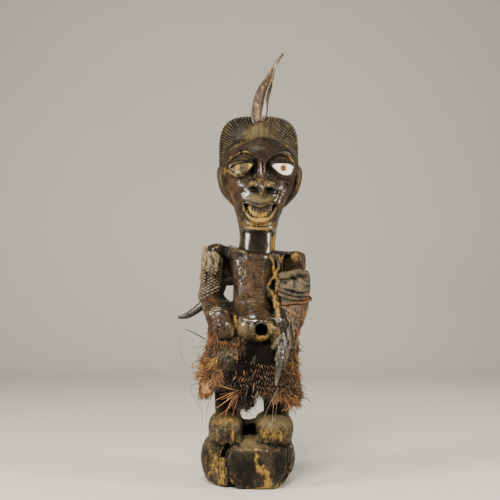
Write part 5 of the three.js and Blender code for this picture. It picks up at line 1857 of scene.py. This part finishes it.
# Where raffia ends stand out: bearing, share down the skirt, spread of both, weight, tint,
# length and radius.
TUFTS = [
    (-1.35, 0.4, 0.22, 0.12, 0.12, 0.46, 8, 0.8), (-1.08, 0.5, 0.16, 0.09, 0.09, 0.54, 10, 0.85),
    (-0.74, 0.62, 0.12, 0.09, 0.07, 0.5, 10, 0.85), (-1.05, 0.14, 0.24, 0.08, 0.05, 0.36, 7, 0.6),
    (-0.55, 0.24, 0.22, 0.12, 0.04, 0.9, 5, 0.6), (-0.44, 0.1, 0.12, 0.05, 0.04, 0.42, 5, 0.75),
    (-0.3, 0.19, 0.09, 0.05, 0.02, 0.46, 5, 0.75), (0.66, 0.62, 0.12, 0.18, 0.03, 0.34, 6, 0.62),
    (0.95, 0.4, 0.16, 0.2, 0.04, 0.88, 5, 0.6), (1.25, 0.5, 0.14, 0.24, 0.09, 0.48, 7, 0.8),
    (0.98, 0.95, 0.14, 0.04, 0.07, 0.5, 8, 0.8), (0.62, 0.92, 0.12, 0.04, 0.04, 0.4, 8, 0.62),
    (2.3, 0.6, 0.5, 0.3, 0.11, 0.42, 7, 0.55), (-2.4, 0.6, 0.5, 0.3, 0.11, 0.42, 7, 0.55),
    (3.14, 0.5, 0.4, 0.3, 0.08, 0.4, 7, 0.55),
]


def hem_paths(random, settings):
    """Short ends that hang from the hem."""
    paths = []
    for _ in range(settings.hem_fibres):
        bearing = random.uniform(-math.pi, math.pi)
        share = 1 - 0.06 * random.random() ** 2
        start = skirt_point(bearing, share, 0.5)
        away = skirt_out(bearing) * 0.3 + [0, 0, -0.8] + random.normal(size=3) * 0.3
        length = random.uniform(3, 8)
        warm = 0.14 + 0.32 * smooth(0.55, 0.9, abs(bearing))
        tint = np.clip(random.normal(warm, 0.1), 0, 0.7)
        paths.append((curl(random, start, away, length, 0.15, 0.3, 4, 0.55), tint))
    return paths


def tuft_paths(random, settings):
    """Clumps of ends that stand out over the skirt, mostly where TUFTS puts them."""
    paths = []
    weights = np.array([tuft[4] for tuft in TUFTS])
    for pick in random.choice(len(TUFTS), settings.tufts, p=weights / weights.sum()):
        bearing0, share0, wide, tall, _, warm, length, radius = TUFTS[pick]
        bearing = bearing0 + random.normal() * wide
        share = np.clip(share0 + random.normal() * tall, 0.02, 1.0)
        if -1.6 < bearing < -0.85 and share > 0.68 and random.random() < 0.96:
            continue
        lean = skirt_out(bearing) * 0.5 + [0, 0, -0.75] + random.normal(size=3) * 0.45
        shade = warm + (0.06 if random.random() < 0.62 else -0.26) + random.normal() * 0.07
        reach = length * random.uniform(0.6, 1.25)
        for _ in range(random.integers(4, 9)):
            start = skirt_point(bearing + random.normal() * 0.02, share, 0.5)
            start = start + [0, 0, random.normal() * 1.2]
            away = lean + random.normal(size=3) * 0.25
            tint = np.clip(random.normal(shade, 0.08), 0, 0.8 if warm < 0.8 else 1)
            fibre = curl(random, start, away, reach * random.uniform(0.7, 1.1), 0.3, 0.5, 6, radius)
            paths.append((fibre, tint))
    return paths


def hand_paths(random, settings):
    """Ends caught round the hand on the image's left."""
    paths = []
    for _ in range(settings.tufts // 3):
        turn, lift = random.uniform(-2.9, -0.3), random.uniform(-0.9, 0.15)
        away = np.array([math.cos(turn) * math.cos(lift), math.sin(turn) * math.cos(lift), math.sin(lift)])
        start = np.array(HAND_AT) + away * HAND_HALF
        away = away * 0.35 + random.normal(size=3) * 0.4 + [0, 0, -0.6]
        if start[0] < -48 or start[2] < 168:
            fibre = curl(random, start, away, random.uniform(4, 8), 0.3, 0.4, 5, 0.6)
            paths.append((fibre, random.uniform(0.25, 0.55)))
    return paths


def matted_paths(random, settings):
    """Fibres that lie flat on the cloth, greyer at the waist on the image's left."""
    paths = []
    for _ in range(settings.matted_fibres):
        bearing = random.uniform(-math.pi, math.pi)
        share = random.uniform(0.02, 1.0)
        centre = abs(bearing - 0.02) < 0.5
        if centre and random.random() < (1.0 if share < 0.55 else 0.6):
            continue
        if -1.6 < bearing < -0.85 and share > 0.72 and random.random() < 0.8:
            continue
        start = skirt_point(bearing, share, 2.6)
        out = skirt_out(bearing)
        along = np.cross(out, [0, 0, 1]) * random.normal() * 0.5 + np.array([0, 0, 1]) * random.normal()
        away = along / (np.linalg.norm(along) + 1e-6) + out * 0.08
        green = math.exp(-(((bearing + 0.62) / 0.35) ** 2) - ((share - 0.2) / 0.25) ** 2)
        # Fibres in the front middle, in the hollow under the belly, are darker: painted shade.
        tint = random.normal(0.12 if centre else 0.26, 0.1)
        if random.random() < 0.12 + 0.7 * green and not centre:
            tint = random.normal(0.88, 0.05)
        fibre = curl(random, start, away, random.uniform(5, 11), 0.0, 0.2, 4, 0.6)
        paths.append((fibre, np.clip(tint, 0, 1)))
    return paths


def make_fringe(settings):
    """Raffia ends that stand out over the skirt and hang from its hem."""
    random = np.random.default_rng(settings.seed)
    finish = fibre_finish(settings)
    hem = strands("hem_fringe", hem_paths(random, settings), finish)
    tufts = tuft_paths(random, settings) + hand_paths(random, settings)
    side = strands("side_tufts", tufts, finish)
    mat = strands("matted_fibres", matted_paths(random, settings), finish)
    return [hem, side, mat]


# The rows of stitches, as shares down the skirt, and the skirt's radius that their pitch is set on.
STITCH_ROWS, STITCH_RADIUS = (0.50, 0.59, 0.68, 0.77, 0.86, 0.95), 74


def make_stitches(settings):
    """Rows of slanting knots that hold the raffia along the lower skirt."""
    random = np.random.default_rng(settings.seed + 1)
    finish = fibre_finish(settings)
    paths = []
    pitch = settings.stitch_pitch / MM
    count = int(2 * math.pi * STITCH_RADIUS / pitch)
    for row, share in enumerate(STITCH_ROWS):
        lean = 0.02 * (1 if row % 2 else -1)
        for k in range(count):
            bearing = -math.pi + 2 * math.pi * (k + 0.5 * (row % 2)) / count + random.normal() * 0.004
            near = math.exp(-(((bearing - 0.3) / 0.6) ** 4))
            if random.random() > 0.1 + 0.88 * near:
                continue
            if -0.5 < bearing < -0.02 and random.random() < 0.3 + 0.6 * (share > 0.8):
                continue
            heights = np.linspace(share + 0.042, share - 0.036, 4)
            rise = np.array([1.0, 3.6, 3.8, 1.0]) + random.normal() * 0.4
            slant = bearing + lean * np.linspace(-1, 1, 4)
            place = np.array([skirt_point(b, s, r) for b, s, r in zip(slant, heights, rise)])
            thick = np.array([0.4, 0.7, 0.7, 0.4]) * random.uniform(0.7, 1.2)
            tint = random.normal(0.34, 0.1) if random.random() < 0.72 else random.normal(0.86, 0.05)
            paths.append((np.c_[place, thick], np.clip(tint, 0, 1)))
    return strands("skirt_stitches", paths, finish, 5)


def make_skirt(settings):
    cloth = make_cloth()
    loose = make_fringe(settings) + [make_stitches(settings)]
    for piece in loose:
        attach(piece, BODY)


# Single straws, twigs and hairs.

# Where most of the straws start, and each straw's path [x, y, z, radius] and tint.
STRAW_FOOT = (-14, -60, 86)
STRAWS = [
    ([(*STRAW_FOOT, 0.8), (-32, -66, 80, 0.7), (-54, -70, 70, 0.4)], 0.6),
    ([(*STRAW_FOOT, 0.8), (-30, -72, 90, 0.6), (-45, -78, 96, 0.4)], 0.64),
    ([(*STRAW_FOOT, 0.8), (-28, -72, 68, 0.6), (-36, -76, 48, 0.4)], 0.52),
    ([(*STRAW_FOOT, 0.8), (-32, -72, 72, 0.6), (-50, -76, 60, 0.4)], 0.62),
    ([(-16, -62, 84, 0.7), (-30, -70, 60, 0.6), (-48, -72, 46, 0.4)], 0.5),
    ([(48, -70, 92, 0.34), (36, -76, 68, 0.3), (26, -78, 46, 0.25)], 0.93),
    ([(46, -70, 90, 0.34), (41, -76, 64, 0.3), (38, -78, 24, 0.25)], 0.96),
    ([(48, -70, 90, 0.34), (46, -76, 62, 0.3), (42, -78, 38, 0.25)], 0.9),
    ([(-70, -30, 166, 0.9), (-88, -30, 176, 1.0), (-104, -26, 183, 0.7)], 0.12),
    ([(-84, -20, 120, 0.4), (-100, -20, 122, 0.4), (-110, -18, 135, 0.35), (-114, -16, 152, 0.35),
      (-110, -14, 170, 0.3), (-104, -12, 178, 0.25)], 0.36),
    ([(-74, -30, 132, 0.8), (-86, -34, 130, 0.8), (-92, -36, 124, 0.8), (-90, -38, 116, 0.7)], 0.45),
    ([(-80, -36, 96, 0.4), (-95, -36, 88, 0.4), (-88, -38, 70, 0.4), (-76, -40, 50, 0.35),
      (-74, -40, 32, 0.3)], 0.28),
    ([(-60, -50, 74, 0.4), (-66, -54, 56, 0.4), (-68, -56, 36, 0.3)], 0.35),
    ([(78, -40, 170, 0.4), (84, -42, 164, 0.4), (88, -42, 158, 0.3)], 0.25),
]


def make_straws(settings):
    random = np.random.default_rng(settings.seed + 2)
    finish = fibre_finish(settings)
    paths = [(spline(rows, 12), tint) for rows, tint in STRAWS]
    for _ in range(12):
        foot = np.array(STRAW_FOOT) + random.normal(size=3) * 2
        tip = foot + np.array([random.uniform(-34, -6), random.uniform(-16, -6), random.uniform(-38, 4)])
        middle = (foot + tip) / 2 + random.normal(size=3) * 3 + [0, -3, 2]
        rows = [(*foot, 0.5), (*middle, 0.45), (*tip, 0.25)]
        paths.append((spline(rows, 7), random.uniform(0.42, 0.7)))
    finish_piece(strands("loose_straws", paths, finish, 5), finish, [], "fibre_skirt")


# Floor, light and camera.

# Each lamp's name, place, width, height and power in watts.
LAMPS = (
    ("left", (-1.35, -0.75, 0.8), 0.42, 1.0, 37.0),
    ("right", (1.4, -0.55, 0.75), 0.3, 1.1, 25.0),
    ("front", (-0.3, -1.35, 1.85), 0.8, 0.55, 64.0),
    ("back", (0.6, 1.2, 1.5), 0.8, 0.8, 10.0),
)
LAMP_COLOUR, SKY_COLOUR, LAMP_AIM = (1.0, 0.93, 0.8), (1, 0.98, 0.94, 1), (0, 0, 0.4)
CAMERA_LENS, CAMERA_PLACE, CAMERA_RISE = 61.2, (0.0034, -1.445, 0.328), 2.33
# The floor: half width, front edge, back wall, wall top and the bend's radius, in metres.
FLOOR_HALF, FLOOR_FRONT, WALL_AT, WALL_TOP, BEND = 6.0, -3.0, 2.2, 4.0, 0.6


def make_stage(settings):
    scene = bpy.context.scene
    foot = WALL_AT - BEND
    profile = [(FLOOR_FRONT, 0.0), (foot, 0.0)]
    profile += [(foot + BEND * math.sin(a), BEND - BEND * math.cos(a)) for a in np.linspace(0.1, 1.5, 12)]
    profile.append((WALL_AT, WALL_TOP))
    points = [(x, y, z) for y, z in profile for x in (-FLOOR_HALF, FLOOR_HALF)]
    faces = [(2 * k, 2 * k + 1, 2 * k + 3, 2 * k + 2) for k in range(len(profile) - 1)]
    floor = bpy.data.meshes.new("floor")
    floor.from_pydata(points, [], faces)
    floor.shade_smooth()
    sweep = link_object("floor", floor)
    m = Finish("pale floor")
    floor.materials.append(m.set(Base_Color=settings.floor, Roughness=0.85))
    for name, place, wide, tall, power in LAMPS:
        light = bpy.data.lights.new(name, "AREA")
        light.shape = "RECTANGLE"
        light.size = wide
        light.size_y = tall
        light.energy = power * settings.light
        light.color = LAMP_COLOUR
        lamp = link_object(name, light)
        lamp.location = place
        aim = Vector(LAMP_AIM) - Vector(place)
        lamp.rotation_euler = aim.to_track_quat("-Z", "Y").to_euler()
    world = bpy.data.worlds.new("studio")
    world.use_nodes = True
    background = world.node_tree.nodes["Background"]
    background.inputs["Color"].default_value = SKY_COLOUR
    background.inputs["Strength"].default_value = settings.sky
    scene.world = world
    camera = bpy.data.cameras.new("camera")
    camera.sensor_width = 36
    camera.lens = CAMERA_LENS
    eye = link_object("camera", camera)
    eye.location = CAMERA_PLACE
    eye.rotation_euler = (math.radians(90 + CAMERA_RISE), 0, 0)
    scene.camera = eye


# Settings, operators and panel.


def colour_property(name, text, default):
    return bpy.props.FloatVectorProperty(
        name=name, description=text, default=default, size=3, min=0, max=1, subtype="COLOR"
    )


class CarvingSettings(bpy.types.PropertyGroup):
    grain_step: bpy.props.FloatProperty(
        name="Carving step", description="Finest step of the carved surface", default=0.00105,
        min=0.0008, max=0.004, unit="LENGTH", precision=5)
    patina: colour_property("Patina", "Darkest wood", (0.008, 0.0052, 0.003))
    patina_light: colour_property("Patina, light", "Lighter wood", (0.036, 0.022, 0.011))
    patina_red: colour_property("Patina, red", "Reddish worn wood", (0.075, 0.034, 0.017))
    ochre: colour_property("Ochre", "Worn and clayed wood", (0.33, 0.2, 0.045))
    ochre_dark: colour_property("Ochre, dark", "Dirty clay", (0.15, 0.09, 0.028))
    ochre_pale: colour_property("Ochre, pale", "Palest clay specks", (0.54, 0.4, 0.14))
    dust: colour_property("Dust", "Olive dust in the hair and on the feet", (0.14, 0.106, 0.05))


class HornSettings(bpy.types.PropertyGroup):
    gloss: bpy.props.FloatProperty(
        name="Roughness", description="Roughness of polished horn", default=0.26, min=0, max=1)


class ShellSettings(bpy.types.PropertyGroup):
    shell: colour_property("Shell", "Clean shell", (0.93, 0.9, 0.8))
    pupil: colour_property("Pupil", "Brown paste in the drilled pupil", (0.1, 0.06, 0.03))


class HideSettings(bpy.types.PropertyGroup):
    hide_dark: colour_property("Hide, dark", "Dark hide", (0.02, 0.014, 0.008))
    hide_mid: colour_property("Hide", "Middle hide", (0.085, 0.06, 0.034))
    hide_pale: colour_property("Hide, pale", "Pale worn hide", (0.24, 0.185, 0.1))
    cord: colour_property("Cord", "Cord round the hide", (0.27, 0.12, 0.038))


class SkirtSettings(bpy.types.PropertyGroup):
    seed: bpy.props.IntProperty(name="Seed", description="Seed of the fibres", default=7)
    hem_fibres: bpy.props.IntProperty(name="Hem fibres", description="Ends at the hem", default=1900)
    tufts: bpy.props.IntProperty(name="Tufts", description="Clumps of raffia ends", default=760)
    matted_fibres: bpy.props.IntProperty(name="Matted fibres", description="Flat fibres", default=4200)
    stitch_pitch: bpy.props.FloatProperty(
        name="Stitch pitch", description="From knot to knot along a row", default=0.0037,
        min=0.002, unit="LENGTH", precision=4)
    rust: colour_property("Rust", "Rust-brown fibre", (0.16, 0.062, 0.022))
    orange: colour_property("Orange", "Orange fibre", (0.42, 0.19, 0.055))
    straw: colour_property("Straw", "Palest straw", (0.6, 0.4, 0.15))
    grey: colour_property("Grey", "Palest greyed fibre", (0.34, 0.27, 0.18))


class StageSettings(bpy.types.PropertyGroup):
    floor: colour_property("Floor", "Pale floor and backdrop", (0.62, 0.61, 0.56))
    light: bpy.props.FloatProperty(name="Light", description="Share of full lamp power", default=1.0, min=0)
    sky: bpy.props.FloatProperty(name="Sky", description="Even light all round", default=0.055, min=0)


GROUPS = {
    "figure_carving": CarvingSettings,
    "figure_horn": HornSettings,
    "figure_shell": ShellSettings,
    "figure_hide": HideSettings,
    "figure_skirt": SkirtSettings,
    "figure_stage": StageSettings,
}


# One operator for each part of the figure: name, label, what it does, its function and settings.
STEPS = (
    ("carving", "Carved wood", "Carve the figure and its base from one block", carve_figure, "carving"),
    ("horns", "Horns", "Make the crest horn and the two small horns", make_horns, "horn"),
    ("eyes", "Shell eyes", "Inlay the two shell eyes", make_eyes, "shell"),
    ("binding", "Arm binding", "Bind the upper arm with hide and cord", make_binding, "hide"),
    ("bundle", "Hide bundle", "Tie the hide round the forearm with its cord", make_bundle, "hide"),
    ("skirt", "Fibre skirt", "Hang the raffia skirt with its fringe and knots", make_skirt, "skirt"),
    ("straws", "Loose straws", "Add the loose straws, twigs and hairs", make_straws, "skirt"),
    ("stage", "Stage", "Set the floor, the light and the camera", make_stage, "stage"),
)


def step_operator(name, label, text, make, group):
    def execute(self, context):
        make(getattr(context.scene, "figure_" + group))
        return {"FINISHED"}

    parts = {"__doc__": text, "bl_idname": "figure." + name, "bl_label": label, "execute": execute}
    return type("FIGURE_OT_" + name, (bpy.types.Operator,), parts)


OPERATORS = [step_operator(*step) for step in STEPS]


class FIGURE_PT_panel(bpy.types.Panel):
    bl_label = "Carved figure"
    bl_idname = "FIGURE_PT_panel"
    bl_space_type = "VIEW_3D"
    bl_region_type = "UI"
    bl_category = "Figure"

    def draw(self, context):
        for operator in OPERATORS:
            self.layout.operator(operator.bl_idname)
        for name, group in GROUPS.items():
            box = self.layout.box()
            for key in group.__annotations__:
                box.prop(getattr(context.scene, name), key)


def register():
    for name, group in GROUPS.items():
        bpy.utils.register_class(group)
        setattr(bpy.types.Scene, name, bpy.props.PointerProperty(type=group))
    for operator in OPERATORS:
        bpy.utils.register_class(operator)
    bpy.utils.register_class(FIGURE_PT_panel)


def unregister():
    bpy.utils.unregister_class(FIGURE_PT_panel)
    for operator in reversed(OPERATORS):
        bpy.utils.unregister_class(operator)
    for name, group in reversed(GROUPS.items()):
        delattr(bpy.types.Scene, name)
        bpy.utils.unregister_class(group)


def main():
    register()
    for name, *_ in STEPS:
        getattr(bpy.ops.figure, name)()


if __name__ == "__main__":
    main()
